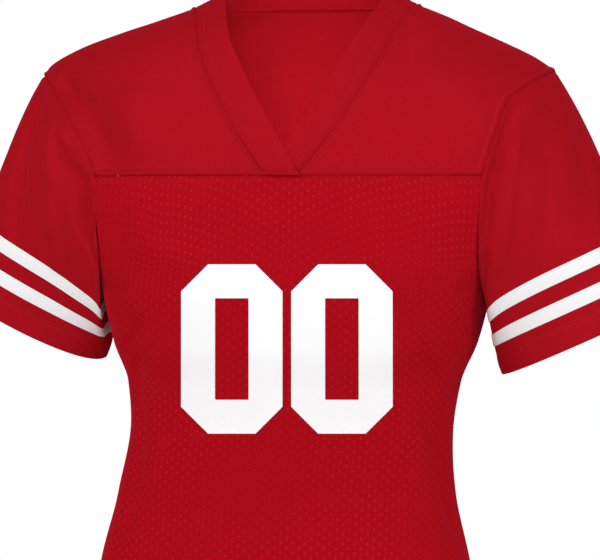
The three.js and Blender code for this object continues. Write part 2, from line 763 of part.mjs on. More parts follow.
function sleeveWall(sleeve) {
  const outer = [];
  const inner = [];
  for (let q = 0; q < ROUND; q += 1) {
    const joint = armholeJoint(sleeve, q);
    const surface = (s, t) => sleevePoint(sleeve, s, t);
    sleeveShares(sleeve, q).forEach((share, i) => {
      outer[i] ??= [];
      inner[i] ??= [];
      const point = sleevePoint(sleeve, q, share).addScaledVector(joint.gap, 1 - share);
      const normal = share < STEP ? joint.sleeveInward : normalOf(surface, q, share, sleeve.side);
      outer[i].push(point);
      inner[i].push(point.clone().addScaledVector(normal, -WALL));
    });
  }
  return wall(outer, inner, true);
}

// A stripe lies on the sleeve, so it is made from the sleeve's own points, moved out.
function stripeWall(sleeve, stripe) {
  const outer = [[], []];
  const inner = [[], []];
  const surface = (s, t) => sleevePoint(sleeve, s, t);
  for (let q = 0; q < ROUND; q += 1) {
    [stripe.low, stripe.high].forEach((length, i) => {
      const share = shareAbove(sleeve, q, stripeLength(sleeve, length, q));
      const point = sleevePoint(sleeve, q, share).addScaledVector(armholeJoint(sleeve, q).gap, 1 - share);
      const normal = normalOf(surface, q, share, sleeve.side);
      inner[i].push(point.clone().addScaledVector(normal, SEAM_GAP));
      outer[i].push(point.clone().addScaledVector(normal, SEAM_GAP + STRIPE_WALL));
    });
  }
  return wall(outer, inner, true);
}

const meshKnit = new THREE.MeshStandardMaterial({ color: 0xa80f1a, roughness: 0.75, metalness: 0 });
const satinKnit = new THREE.MeshStandardMaterial({ color: 0xb01522, roughness: 0.5, metalness: 0 });
const whiteTape = new THREE.MeshStandardMaterial({ color: 0xf2f2f0, roughness: 0.5, metalness: 0 });

const jersey = new THREE.Group();
function add(name, geometry, material) {
  const mesh = new THREE.Mesh(geometry, material);
  mesh.name = name;
  jersey.add(mesh);
}

add("front_body", bodyPanel(false), meshKnit);
add("back_body", bodyPanel(true), meshKnit);
add("front_yoke_right", frontYoke(-1), satinKnit);
add("front_yoke_left", frontYoke(1), satinKnit);
add("back_yoke", backYoke(), satinKnit);
add("neck_band", neckBand(), satinKnit);
for (const sleeve of SLEEVES) {
  add(`sleeve_${sleeve.name}`, sleeveWall(sleeve), satinKnit);
  for (const stripe of STRIPES) {
    add(`stripe_${sleeve.name}_${stripe.name}`, stripeWall(sleeve, stripe), whiteTape);
  }
}

export default jersey;
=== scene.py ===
# %% [markdown]
# # A football jersey, filled out as when worn, with nobody in it
# A jersey of this kind is sewn from flat panels: a front and a back of pinhole mesh, a smooth
# yoke over the shoulders, a folded band round the neck and two short sleeves with white
# stripes. Blender could drape such panels with its cloth solver, but the pose here is a set
# one, so each panel is a flat grid whose points are moved to where the worn cloth lies. That
# keeps every seam where it belongs, and it comes out the same each time.

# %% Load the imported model
import math

import bpy
import numpy as np
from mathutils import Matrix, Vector


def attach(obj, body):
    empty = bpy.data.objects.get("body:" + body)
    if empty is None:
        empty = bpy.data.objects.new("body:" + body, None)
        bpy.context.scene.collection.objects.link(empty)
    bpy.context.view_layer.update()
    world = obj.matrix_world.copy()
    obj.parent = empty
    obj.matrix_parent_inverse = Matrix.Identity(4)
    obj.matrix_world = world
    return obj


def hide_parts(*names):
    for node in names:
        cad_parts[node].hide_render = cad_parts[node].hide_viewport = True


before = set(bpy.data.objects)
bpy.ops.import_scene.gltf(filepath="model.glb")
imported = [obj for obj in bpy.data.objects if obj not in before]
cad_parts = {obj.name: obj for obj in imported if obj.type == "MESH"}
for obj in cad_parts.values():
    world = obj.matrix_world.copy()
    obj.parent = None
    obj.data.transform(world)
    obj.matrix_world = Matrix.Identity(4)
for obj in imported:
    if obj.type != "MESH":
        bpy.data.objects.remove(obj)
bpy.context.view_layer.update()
MM = 0.001

# %% [markdown]
# ## Camera
# A product photograph is taken with a long lens from well back, so the shoulders and the
# waist keep their true proportions. The camera stands a little to the wearer's left and a
# little above, 2 m away, and crops the sleeves, the neck and the hem.

# %% Camera
CAMERA_AZIMUTH = math.radians(9)
CAMERA_ELEVATION = math.radians(2)
CAMERA_DISTANCE = 2.0
CAMERA_TARGET = Vector((-0.002, 0.0, -0.243))

toward_camera = Vector((
    math.sin(CAMERA_AZIMUTH) * math.cos(CAMERA_ELEVATION),
    -math.cos(CAMERA_AZIMUTH) * math.cos(CAMERA_ELEVATION),
    math.sin(CAMERA_ELEVATION),
))
camera_place = CAMERA_TARGET + toward_camera * CAMERA_DISTANCE
bpy.ops.object.camera_add(
    location=camera_place, rotation=toward_camera.to_track_quat("Z", "Y").to_euler()
)
camera = bpy.context.object
camera.data.lens = 133.3
camera.data.sensor_width = 36
bpy.context.scene.camera = camera
print("camera at", [round(v, 3) for v in camera_place])

# %% [markdown]
# ## Light
# The picture has the soft, even light of a studio with large diffusers: one high and in
# front, one low and in front, one on each side and one above. The world is white to the eye
# and gives a weaker fill, so that the folds keep their shadows.

# %% Lights and world
def add_softbox(name, place, power, width):
    bpy.ops.object.select_all(action="DESELECT")
    aim = Vector(place) - CAMERA_TARGET
    bpy.ops.object.light_add(
        type="AREA", location=place, rotation=aim.to_track_quat("Z", "Y").to_euler()
    )
    box = bpy.context.object
    box.name = name
    box.data.shape = "SQUARE"
    box.data.size = width
    box.data.energy = power
    return box


add_softbox("key_softbox", (-0.3, -2.0, 1.2), 14, 1.1)
add_softbox("front_softbox", (0.4, -2.3, -0.05), 10, 0.8)
add_softbox("right_softbox", (2.1, -0.9, 0.1), 12.5, 1.4)
add_softbox("left_softbox", (-2.1, -0.9, 0.1), 10, 1.4)
add_softbox("top_softbox", (0.0, -0.7, 1.7), 8, 1.2)
collar_lamp = add_softbox("collar_lamp", (0.0, -0.05, -0.155), 0.19, 0.12)
collar_lamp.rotation_euler = (Vector((0.0, -0.05, -0.155)) - Vector((0.0, 0.08, 0.0))).to_track_quat("Z", "Y").to_euler()
collar_lamp.visible_camera = False

world = bpy.data.worlds.new("studio")
bpy.context.scene.world = world
world.use_nodes = True
sky = world.node_tree
sky.nodes.clear()
seen_light = sky.nodes.new("ShaderNodeLightPath")
fill_white = sky.nodes.new("ShaderNodeBackground")
fill_white.inputs["Color"].default_value = (1, 1, 1, 1)
fill_white.inputs["Strength"].default_value = 0.45
paper_white = sky.nodes.new("ShaderNodeBackground")
paper_white.inputs["Color"].default_value = (1, 1, 1, 1)
paper_white.inputs["Strength"].default_value = 1.0
either = sky.nodes.new("ShaderNodeMixShader")
world_out = sky.nodes.new("ShaderNodeOutputWorld")
matt_fill = sky.nodes.new("ShaderNodeMixShader")
sky.links.new(seen_light.outputs["Is Glossy Ray"], matt_fill.inputs["Fac"])
sky.links.new(fill_white.outputs["Background"], matt_fill.inputs[1])
sky.links.new(seen_light.outputs["Is Camera Ray"], either.inputs["Fac"])
sky.links.new(matt_fill.outputs["Shader"], either.inputs[1])
sky.links.new(paper_white.outputs["Background"], either.inputs[2])
sky.links.new(either.outputs["Shader"], world_out.inputs["Surface"])
bpy.context.scene.view_settings.view_transform = "Standard"
bpy.context.scene.view_settings.look = "None"

# %% [markdown]
# ## Smooth curves through a few measures
# A pattern cutter writes down a few measures and draws a smooth line through them. These
# helpers do the same: one never swings past its measures, for widths and depths, and the
# other runs by row number, for the seams.

# %% Curves
def hermite(a, b, from_a, to_b, t):
    t2, t3 = t * t, t * t * t
    return (2 * t3 - 3 * t2 + 1) * a + (t3 - 2 * t2 + t) * from_a + (3 * t2 - 2 * t3) * b + (t3 - t2) * to_b


def curve_through(keys, values):
    order = np.argsort(keys)
    k, v = np.array(keys, float)[order], np.array(values, float)[order]
    slope = np.diff(v) / np.diff(k)
    tangent = np.concatenate([slope[:1], np.zeros(len(k) - 2), slope[-1:]])
    before, after = slope[:-1], slope[1:]
    same = before * after > 0
    tangent[1:-1][same] = 2 * before[same] * after[same] / (before[same] + after[same])

    def at(x):
        x = np.clip(x, k[0], k[-1])
        i = np.clip(np.searchsorted(k, x) - 1, 0, len(k) - 2)
        span = k[i + 1] - k[i]
        return hermite(v[i], v[i + 1], tangent[i] * span, tangent[i + 1] * span, (x - k[i]) / span)

    return at


def along_rows(values, position):
    values = np.asarray(values, float)
    last = len(values) - 1
    i = np.clip(np.floor(position).astype(int), 0, last - 1)
    a, b = values[i], values[i + 1]
    from_a = np.where(i == 0, b - a, (b - values[np.maximum(i - 1, 0)]) / 2)
    to_b = np.where(i + 1 == last, b - a, (values[np.minimum(i + 2, last)] - a) / 2)
    return hermite(a, b, from_a, to_b, position - i)


def mix(a, b, t):
    return a * (1 - t) + b * t


def unit(v):
    return v / np.maximum(np.linalg.norm(v, axis=-1, keepdims=True), 1e-12)


# %% [markdown]
# ## The worn form of the body
# Seen from above, a filled-out jersey is an oval at each height. The table gives that oval's
# half width and its depths at the front, side and back, in millimetres. Angle 0 is the front
# middle and 90 the wearer's left side seam.

# %% Body form
HEM_Z, ARMPIT_Z = -650.0, -250.0
FRONT_YOKE_Z, BACK_YOKE_Z = -150.0, -132.0
SHOULDER_TIP_Z, NECK_SIDE_Z = -57.0, 3.0

# height, half width, front, side, back, shift sideways, squareness
SECTIONS = np.array([
    [32, 68, -18, 7, 57, 4, 0], [18, 76, -24, 4, 63, 4, 0], [3, 100, -36, 0, 70, 4, 0],
    [-9, 131, -46, 0, 76, 1, 0.004], [-20, 160, -54, 0, 80, -5, 0.012],
    [-35, 196.5, -64, 0, 85, -9.2, 0.022], [-48, 220.5, -72, -0.4, 89, -8.4, 0.029],
    [-57, 230.5, -77.4, -1, 91, -5.6, 0.0335], [-66, 237.5, -82.4, -1.6, 93, -3.6, 0.0375],
    [-82, 244, -90.6, -2.3, 96, -1.6, 0.044], [-100, 245, -98.4, -3, 98, -0.5, 0.05],
    [-125, 236, -106.6, -4, 100, 0, 0.058], [-150, 221, -113, -5, 102, 0, 0.066],
    [-200, 193, -124, -7, 103, 0, 0.08], [-250, 172.5, -129, -8, 98, -1, 0.08],
    [-297, 161.5, -127, -8, 92, -3, 0.062], [-333, 148.5, -118, -8, 85, -5, 0.05],
    [-373, 144.5, -110, -8, 82, -7.5, 0.05], [-432, 151.5, -107, -8, 85, -12.5, 0.05],
    [-494, 166, -112, -8, 94, -14, 0.05], [-570, 178, -119, -8, 103, -12, 0.045],
    [-650, 188, -124, -8, 109, -11.5, 0.04],
], float)
half_width, front_depth, side_depth, back_depth, shift, square = (
    curve_through(SECTIONS[:, 0], SECTIONS[:, k]) for k in range(1, 7)
)


def oval_shares(angle, squareness):
    across = (np.sin(angle) + squareness * np.sin(3 * angle)) / (1 - squareness)
    deep = (np.cos(angle) - squareness * np.cos(3 * angle)) / (1 - squareness)
    return across, deep


def form_point(angle, z):
    angle, z = np.broadcast_arrays(np.asarray(angle, float), np.asarray(z, float))
    across, deep = oval_shares(np.radians(angle), square(z))
    side = side_depth(z)
    depth = np.where(deep > 0, front_depth(z) - side, side - back_depth(z))
    return np.stack([shift(z) + half_width(z) * across, side + deep * depth, z], -1)


def form_normal(angle, z):
    here = form_point(angle, z)
    round_it = form_point(angle + 0.01, z) - here
    up = form_point(angle, z + 0.01) - here
    return unit(np.cross(round_it, up))


def front_angle(x, z):
    """The angle of the place on the front that lies x from the middle plane."""
    x, z = np.broadcast_arrays(np.asarray(x, float), np.asarray(z, float))
    share = (x - shift(z)) / half_width(z)
    low, high = np.zeros_like(share), np.full_like(share, 90.0)
    for _ in range(32):
        middle = (low + high) / 2
        short = oval_shares(np.radians(middle), square(z))[0] < np.abs(share)
        low, high = np.where(short, middle, low), np.where(short, high, middle)
    return np.sign(share) * (low + high) / 2


# %% [markdown]
# ## Folds
# Worn cloth folds where it is slack: from the shoulder down to the yoke's corner, under the
# arms and round the waist. A fold is a long ridge or trough that dies away at both ends. Each
# row gives its two ends, its width and how far it stands out (or sinks, if negative).

# %% Folds of the body
MM_PER_DEGREE = 2.2

# angle and height of one end, of the other end, half width, depth
BODY_FOLDS = np.array([
    # the largest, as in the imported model
    [-56.5, -62, -39.5, -93, 9, -8], [-41, -86, -33.5, -142, 12, -10],
    [-37.5, -274, -56, -346, 9, -3.6], [-55, -333, -48.5, -434, 9, -3.8],
    [27.5, -255, 44.5, -318, 11, -3.8], [41, -307, 66, -390, 12, -4.8], [65.5, -380, 73.5, -460, 11, -3.8],
    [-28.5, -224, -23, -204, 20, 2.5], [150, -345, 118, -460, 14, -3.6],
    [-150, -340, -120, -470, 14, -3.6], [160, -300, 172, -520, 16, -2.4],
    # smaller ones on the yokes and chest, for the looks alone
    [-30.5, -77, -25, -128, 10, 3.4], [35.5, -82, 34, -137, 12, 2.6], [27.5, -73, 25.5, -136, 14, -1.2],
    [18.5, -52, 48, -2, 11, -2.5], [-13.5, -120, -10, -144, 10, -1.2], [41, -213, 48.5, -247, 12, 2],
    [-72, -166, -55, -196, 5, -1.3], [-70, -180, -52, -214, 5, 1.0],
    # round the waist and hips
    [-50.5, -416, -50, -474, 10, -3], [-34, -291, -42.5, -371, 8, 2], [-42.5, -362, -37, -449, 8, 2],
    [-71, -328, -33, -275, 3.5, -1.3], [-71, -344, -33.5, -295, 3.5, -1.1],
    [-52.5, -302, -34, -267, 3.5, -1.1], [42.5, -281, 68, -344, 7, 2.2], [65.5, -337, 79.5, -391, 5, 1.8],
    [45, -428, 46.5, -476, 12, 1.4], [36.5, -389, 42, -428, 9, -1.4], [53.5, -343, 71.5, -407, 3.5, 1],
    [70, -406, 77.5, -469, 3.5, -1.1], [39, -290, 66, -362, 3.5, -1],
    [58, -260, 78, -280, 8, -1.6], [-46, -257, -46, -284, 9, -1.6],
    [10, -520, 22, -640, 16, -1.8], [-30, -500, -38, -640, 16, -1.8],
    # on the back
    [132, -300, 108, -372, 10, -1.8], [-132, -300, -108, -372, 10, -1.8],
    [178, -180, 176, -300, 16, -2.0], [140, -150, 128, -230, 10, -1.6],
    [-140, -150, -128, -230, 10, -1.6], [140, -480, 150, -640, 14, -2.2],
    [-140, -480, -152, -640, 14, -2.2], [118, -70, 132, -128, 11, -1.8],
    [-118, -70, -132, -128, 11, -1.8],
], float)


def fold_lift(u, v, folds):
    lift = np.zeros(np.broadcast(u, v).shape)
    for u1, v1, u2, v2, width, depth in folds:
        du, dv = u2 - u1, v2 - v1
        along = ((u - u1) * du + (v - v1) * dv) / (du * du + dv * dv)
        nearest = np.clip(along, 0, 1)
        away = np.hypot(u - u1 - nearest * du, v - v1 - nearest * dv)
        taper = np.sin(np.pi * np.clip(0.12 + 0.76 * along, 0, 1))
        lift += depth * np.maximum(taper, 0) * np.exp(-((away / width) ** 2))
    return lift


def body_folds(angle, z):
    middle = (BODY_FOLDS[:, 0] + BODY_FOLDS[:, 2]) / 2
    lift = np.zeros(np.broadcast(angle, z).shape)
    for fold, centre in zip(BODY_FOLDS, middle):
        turned = angle - 360 * np.round((angle - centre) / 360)
        row = fold.copy()
        row[[0, 2]] *= MM_PER_DEGREE
        lift += fold_lift(turned * MM_PER_DEGREE, z, [row])
    return lift


def body_point(angle, z):
    angle, z = np.broadcast_arrays(np.asarray(angle, float), np.asarray(z, float))
    return form_point(angle, z) + form_normal(angle, z) * body_folds(angle, z)[..., None]


def body_normal(angle, z):
    here = body_point(angle, z)
    return unit(np.cross(body_point(angle + 0.05, z) - here, body_point(angle, z + 0.05) - here))


# %% [markdown]
# ## The armhole seams
# An armhole is one closed seam from the shoulder's tip, down the front to the armpit and up
# the back. It is counted in 36 stations, so a body panel, a yoke and a sleeve can all ask
# for the same place on it.

# %% Armholes
ROUND, HALF_ROUND = 36.0, 18.0
ARMHOLE_FRONT = np.array([  # height, distance from the middle on the right and on the left
    [-57, 232, 229], [-60, 229, 222], [-68, 220.5, 210], [-81, 210.5, 192.5], [-98, 197.5, 184],
    [-122, 182, 176.5], [-150, 167.5, 169], [-173, 166.4, 166.8], [-196, 164, 165.6],
    [-217, 163.2, 164.8], [-234, 164.5, 165.5], [-245, 170, 168.5], [-250, 173, 171],
], float)
ARMHOLE_BACK = np.array([
    [-57, 232, 229], [-60, 231, 226], [-70, 226, 221], [-86, 213, 210], [-107, 202, 201],
    [-132, 193, 193], [-153, 187, 187], [-175, 182, 181.5], [-198, 178, 177],
    [-220, 175, 174], [-236, 173, 172], [-246, 172.5, 171], [-250, 173, 171],
], float)
FRONT_YOKE_ROW, FRONT_YOKE_STATIONS = 6, 9.0
BACK_YOKE_ROW, BACK_YOKE_STATIONS = 5, 7.0


def armhole_angles(rows, side):
    angles = front_angle(side * rows[:, 1 if side < 0 else 2], rows[:, 0])
    angles[[0, -1]] = side * 90
    return angles


ARMHOLE_ANGLES = {
    side: (armhole_angles(ARMHOLE_FRONT, side), armhole_angles(ARMHOLE_BACK, side))
    for side in (-1, 1)
}


def armhole_place(side, station):
    """Angle and height of a place on an armhole seam."""
    turned = np.mod(np.asarray(station, float), ROUND)
    is_back = turned > HALF_ROUND
    from_tip = np.where(is_back, ROUND - turned, turned)
    found = []
    for rows, angles, yoke_row, yoke_stations in (
        (ARMHOLE_FRONT, ARMHOLE_ANGLES[side][0], FRONT_YOKE_ROW, FRONT_YOKE_STATIONS),
        (ARMHOLE_BACK, ARMHOLE_ANGLES[side][1], BACK_YOKE_ROW, BACK_YOKE_STATIONS),
    ):
        past_yoke = (from_tip - yoke_stations) / (HALF_ROUND - yoke_stations)
        row = np.where(
            from_tip <= yoke_stations,
            from_tip / yoke_stations * yoke_row,
            yoke_row + past_yoke * (len(rows) - 1 - yoke_row),
        )
        found.append((along_rows(angles, row), along_rows(rows[:, 0], row)))
    (front, front_z), (back, back_z) = found
    return np.where(is_back, side * 180 - back, front), np.where(is_back, back_z, front_z)


def armhole_point(side, station):
    return body_point(*armhole_place(side, station))


print("armhole tips:", np.round(armhole_point(-1, 0.0), 1), np.round(armhole_point(1, 0.0), 1))

# %% [markdown]
# ## The sleeves' form
# A sleeve starts along the armhole and ends at a round cuff that leans away from the body.
# Between the two, each thread of the cloth is a smooth curve that leaves the armhole in one
# direction and comes to the cuff in another. Folds are added as on the body.

# %% Sleeve form
# side, cuff centre x, y, z, lean, half width, half depth, drop of the cuff's front
SLEEVES = {
    "right": (-1, -246.0, -14.0, -280.5, 26.0, 75.0, 46.0, 6.5),
    "left": (1, 250.0, -20.0, -292.0, 24.5, 75.5, 52.0, 1.5),
}
SLEEVE_HUG = {"right": [-0.12, 0.3, 0.94], "left": [0.3, 0.0, 0.95]}  # the fourth of these places
CUFF_SQUARE = 0.14
SLEEVE_FULLNESS = 0.95
SLEEVE_START = np.array([  # out, forward and down, at eight places round the armhole
    [0.55, 0.0, 0.83], [0.65, -0.02, 0.74], [0.72, -0.04, 0.66], [0.3, 0.0, 0.95], [0.2, 0.0, 0.98],
    [0.32, 0.0, 0.94], [0.72, 0.0, 0.68], [0.64, 0.0, 0.75], [0.55, 0.0, 0.83],
])
SLEEVE_FOLDS = {  # turn and share of one end, of the other end, half width, depth
    "right": [
        [28, 0.05, 38, 0.26, 7, -5.7], [35, 0.22, 54, 0.42, 7, -6.5], [51, 0.38, 66, 0.6, 7, -5.7],
        [51, 0.08, 73, 0.26, 7, 4.6], [70, 0.23, 98, 0.53, 8, 4.6],
        [83, 0.08, 107, 0.18, 12, -10.1], [96, 0.05, 126, 0.18, 12, -8.8],
        [33, 0.37, 57, 0.62, 5, 2.2], [53, 0.24, 80, 0.54, 4, -1.4], [62, 0.06, 71, 0.08, 6, 3.0],
        [74, 0.18, 78, 0.09, 5, -2.2], [20, 0.3, 24, 0.8, 9, 2.2],
        [235, 0.15, 225, 0.75, 15, -6.1], [300, 0.2, 310, 0.8, 15, -4.1], [260, 0.2, 268, 0.7, 9, 2.2],
    ],
    "left": [
        [41, 0.02, 67, 0.04, 9, -5.8], [62, 0.03, 85, 0.05, 11, -7.0], [81, 0.05, 112, 0.1, 11, -7.5],
        [107, 0.09, 138, 0.2, 12, -4.0],
        [61, 0.11, 78, 0.17, 4, 1.9], [77, 0.15, 114, 0.34, 6, 1.9], [36, 0.01, 30, 0.12, 9, -2.2],
        [15, 0.19, 43, 0.52, 7, -2.5], [34, 0.23, 57, 0.46, 8, 1.5], [51, 0.26, 85, 0.47, 5, -0.8],
        [77, 0.28, 98, 0.48, 4, 0.8], [20, 0.3, 22, 0.8, 9, 2.0],
        [235, 0.15, 225, 0.75, 15, -5.6], [300, 0.2, 310, 0.8, 15, -3.8], [260, 0.2, 268, 0.7, 9, 2.0],
    ],
}
SLEEVE_MM_PER_TURN_DEGREE = 1.15
SLEEVE_MM_ALONG = 200.0
SEAM_LINE = 0.06  # half of the fine line that shows between two sewn pieces


def sleeve_start(name, station):
    side, starts = SLEEVES[name][0], SLEEVE_START.copy()
    starts[3] = SLEEVE_HUG[name]
    turn = np.mod(np.asarray(station, float) / ROUND * 360, 360)
    i = np.minimum(np.floor(turn / 45).astype(int), 7)
    ease = ((1 - np.cos(np.pi * (turn / 45 - i))) / 2)[..., None]
    out, forward, down = np.moveaxis(starts[i] * (1 - ease) + starts[i + 1] * ease, -1, 0)
    return unit(np.stack([side * out, -forward, -down], -1))


def cuff_point(name, station):
    side, x, y, z, lean, width, depth, drop = SLEEVES[name]
    turn, lean = np.asarray(station, float) / ROUND * 2 * np.pi, math.radians(lean)
    across = np.array([side * math.cos(lean), 0, math.sin(lean)])
    down = np.array([side * math.sin(lean), 0, -math.cos(lean)])
    return (
        np.array([x, y, z])
        + (width * np.cos(turn) * (1 + CUFF_SQUARE * np.sin(turn) ** 2))[..., None] * across
        + (depth * np.sin(turn))[..., None] * np.array([0, -1, 0])
        + (drop * np.maximum(np.sin(turn), 0))[..., None] * down
    )


def sleeve_form(name, station, share):
    side, lean = SLEEVES[name][0], math.radians(SLEEVES[name][4])
    start_place, end_place = armhole_point(side, station), cuff_point(name, station)
    reach = np.linalg.norm(end_place - start_place, axis=-1, keepdims=True) * SLEEVE_FULLNESS
    leave = sleeve_start(name, station) * reach
    arrive = np.array([side * math.sin(lean), 0, -math.cos(lean)]) * reach
    return hermite(start_place, end_place, leave, arrive, np.asarray(share, float)[..., None])


def sleeve_normal(name, station, share):
    low = np.clip(share, 0, 0.999)
    round_it = sleeve_form(name, station + 0.02, share) - sleeve_form(name, station - 0.02, share)
    down = sleeve_form(name, station, low + 0.001) - sleeve_form(name, station, low)
    return unit(np.cross(round_it, down)) * SLEEVES[name][0]


def sleeve_point(name, station, share):
    station, share = np.broadcast_arrays(np.asarray(station, float), np.asarray(share, float))
    turn = np.mod(station, ROUND) / ROUND * 360
    folds = np.array(SLEEVE_FOLDS[name], float)
    folds[:, [0, 2]] *= SLEEVE_MM_PER_TURN_DEGREE
    folds[:, [1, 3]] *= SLEEVE_MM_ALONG
    lift = fold_lift(turn * SLEEVE_MM_PER_TURN_DEGREE, share * SLEEVE_MM_ALONG, folds)
    lift = lift * np.clip(share / 0.06, 0, 1)
    return sleeve_form(name, station, share) + sleeve_normal(name, station, share) * lift[..., None]


def sleeve_lengths(name, station, pieces=160):
    """Lengths up each thread from the cuff, and the shares that they belong to."""
    shares = np.linspace(1, 0, pieces + 1)[:, None] * np.ones((1, len(station)))
    thread = sleeve_form(name, station[None, :], shares)
    steps = np.linalg.norm(np.diff(thread, axis=0), axis=-1)
    return np.concatenate([np.zeros((1, len(station))), np.cumsum(steps, axis=0)]), shares


# %% [markdown]
# ## Cloth with edges
# Each piece of cloth is laid out as rows and columns of points. Near a seam the rows crowd
# together, because a sewn edge has small shapes: it dips into the seam, rises over the folded
# allowance and dips again under the stitches. The allowance itself turns inwards, as it does
# inside a real garment, so no light shows through a seam.

# %% Rows and columns
SEAM_STEPS = np.array([0, 0.35, 0.75, 1.2, 1.7, 2.3, 3.0, 3.9, 5.2, 7.0])


def shares_along(length, count, start=SEAM_STEPS, end=SEAM_STEPS):
    """Shares of a length that crowd together at both ends."""
    middle = np.linspace(start[-1], length - end[-1], count + 2)[1:-1]
    return np.concatenate([start, middle, length - end[::-1]]) / length


def even_columns(place, row_shares, count, start=SEAM_STEPS, end=SEAM_STEPS):
    """A grid of points whose columns are spaced by their distance on the cloth."""
    coarse = np.linspace(0, 1, 121)
    sketch = place(coarse[None, :], row_shares[:, None])
    steps = np.linalg.norm(np.diff(sketch, axis=1), axis=-1)
    lengths = np.concatenate([np.zeros((len(row_shares), 1)), np.cumsum(steps, axis=1)], axis=1)
    across = np.array([
        np.interp(shares_along(line[-1], count, start, end) * line[-1], line, coarse)
        for line in lengths
    ])
    return place(across, row_shares[:, None] * np.ones_like(across))


def cloth_normals(points):
    return unit(np.cross(np.gradient(points, axis=1), np.gradient(points, axis=0)))


def running(points, axis):
    steps = np.linalg.norm(np.diff(points, axis=axis), axis=-1)
    first = np.zeros_like(np.take(steps, [0], axis=axis))
    return np.concatenate([first, np.cumsum(steps, axis=axis)], axis=axis)


def edge_distances(points):
    across, up = running(points, 1), running(points, 0)
    return {"left": across, "right": across[:, -1:] - across, "low": up, "high": up[-1:] - up}


def bump(d, centre, width):
    return np.exp(-(((d - centre) / width) ** 2))


EDGE_SHAPES = {
    "plain": lambda d: -0.4 * bump(d, 0, 1.2) + 0.2 * bump(d, 2.8, 1.6),
    "tucked": lambda d: -0.9 * bump(d, 0.3, 1.9) + 0.12 * bump(d, 4.2, 1.6),
    "stitched": lambda d: -0.35 * bump(d, 0, 0.7) + 1.1 * bump(d, 2.6, 1.8) - 0.35 * bump(d, 6.2, 1.3),
    "hemmed": lambda d: 0.25 * (d < 17) * bump(d, 9, 9) - 0.3 * bump(d, 17, 0.8) - 0.3 * bump(d, 20, 0.8),
    "folded": lambda d: 0.0 * d,
}


def shape_edges(points, edges):
    normals, distances = cloth_normals(points), edge_distances(points)
    lift = sum(EDGE_SHAPES[kind](distances[edge]) for edge, kind in edges.items())
    return points + normals * lift[..., None]


def turn_in(points, edge, deepest=3.2):
    """Adds the seam allowance of one edge, which turns towards the inside."""
    grid = {"left": points, "right": points[:, ::-1], "low": points.transpose(1, 0, 2),
            "high": points[::-1].transpose(1, 0, 2)}[edge]
    normals = {"left": cloth_normals(points), "right": cloth_normals(points)[:, ::-1],
               "low": cloth_normals(points).transpose(1, 0, 2),
               "high": cloth_normals(points)[::-1].transpose(1, 0, 2)}[edge]
    inner = unit(grid[:, 3] - grid[:, 0])
    rows = [grid[:, 0] + inner * aside - normals[:, 1] * deep for aside, deep in ((-0.12, 0.9), (0.15, deepest))]
    grid = np.concatenate([np.stack(rows[::-1], 1), grid], axis=1)
    return {"left": lambda g: g, "right": lambda g: g[:, ::-1],
            "low": lambda g: g.transpose(1, 0, 2), "high": lambda g: g.transpose(1, 0, 2)[::-1]}[edge](grid)


def fold_under(points, depth, gap=1.3):
    """Adds a folded hem to the low edge: a round fold and the layer behind the cloth."""
    normals, up = cloth_normals(points), running(points, 0)
    radius = gap / 2
    low, outward, rise = points[0], normals[0], unit(points[2] - points[0])
    fold = [
        low - outward * radius * (1 - math.cos(t)) - rise * radius * math.sin(t)
        for t in (math.pi * 0.25, math.pi * 0.5, math.pi * 0.75)
    ]
    layer = []
    for away in (0.4, depth * 0.3, depth * 0.6, depth * 0.85, depth):
        nearest = np.argmin(np.abs(up - away), axis=0)
        columns = np.arange(points.shape[1])
        layer.append(points[nearest, columns] - normals[nearest, columns] * gap)
    return np.concatenate([np.stack(layer[::-1]), np.stack(fold[::-1]), points], axis=0)


# %% [markdown]
# ## From a flat grid to a worn piece
# The flat cloth is Blender's own grid, with as many squares as the piece has rows and columns.
# Each of its points knows its row and column from where it lies, and moves to its worn place.
# Its UV map holds real lengths in metres, so a knit keeps its size and follows the cloth.

# %% A piece of cloth
def cloth_lengths(points, middle_column, first_row):
    """How far each point lies from the middle column and the first row, on the cloth."""
    across = running(points, 1)
    across = across - across[:, middle_column:middle_column + 1]
    up = running(points, 0)
    return across, up - up[first_row:first_row + 1]


def sew_piece(name, points, thickness, material, closed=False, middle=0.5, first_row=0):
    facing = cloth_normals(points)
    rows, columns = points.shape[:2]
    across, up = cloth_lengths(points, int(middle * (columns - 1)), first_row)
    bpy.ops.object.select_all(action="DESELECT")
    bpy.ops.mesh.primitive_grid_add(x_subdivisions=columns - 1, y_subdivisions=rows - 1, size=2)
    piece = bpy.context.object
    piece.name = piece.data.name = name
    mesh = piece.data
    flat = np.empty(len(mesh.vertices) * 3)
    mesh.vertices.foreach_get("co", flat)
    flat = flat.reshape(-1, 3)
    j = np.rint((flat[:, 0] + 1) / 2 * (columns - 1)).astype(int)
    i = np.rint((flat[:, 1] + 1) / 2 * (rows - 1)).astype(int)
    mesh.vertices.foreach_set("co", (points[i, j] * MM).ravel())
    corner = np.empty(len(mesh.loops), int)
    mesh.loops.foreach_get("vertex_index", corner)
    lengths = np.stack([across[i, j][corner], up[i, j][corner]], -1) * MM
    mesh.uv_layers.active.data.foreach_set("uv", lengths.ravel())
    mesh.update()
    if closed:
        bpy.ops.object.mode_set(mode="EDIT")
        bpy.ops.mesh.select_all(action="SELECT")
        bpy.ops.mesh.remove_doubles(threshold=2e-6)
        bpy.ops.object.mode_set(mode="OBJECT")
    wall = piece.modifiers.new("thickness", "SOLIDIFY")
    wall.thickness = thickness * MM
    wall.offset = -1
    bpy.ops.object.modifier_apply(modifier=wall.name)
    bpy.ops.object.shade_smooth_by_angle(angle=math.radians(55))
    mesh.materials.clear()
    mesh.materials.append(material)
    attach(piece, "root")
    area = sum(face.area for face in mesh.polygons) / 2
    print(f"{name}: {rows} x {columns}, {len(mesh.polygons) * 2} triangles, cloth {area:.4f} m2")
    return piece


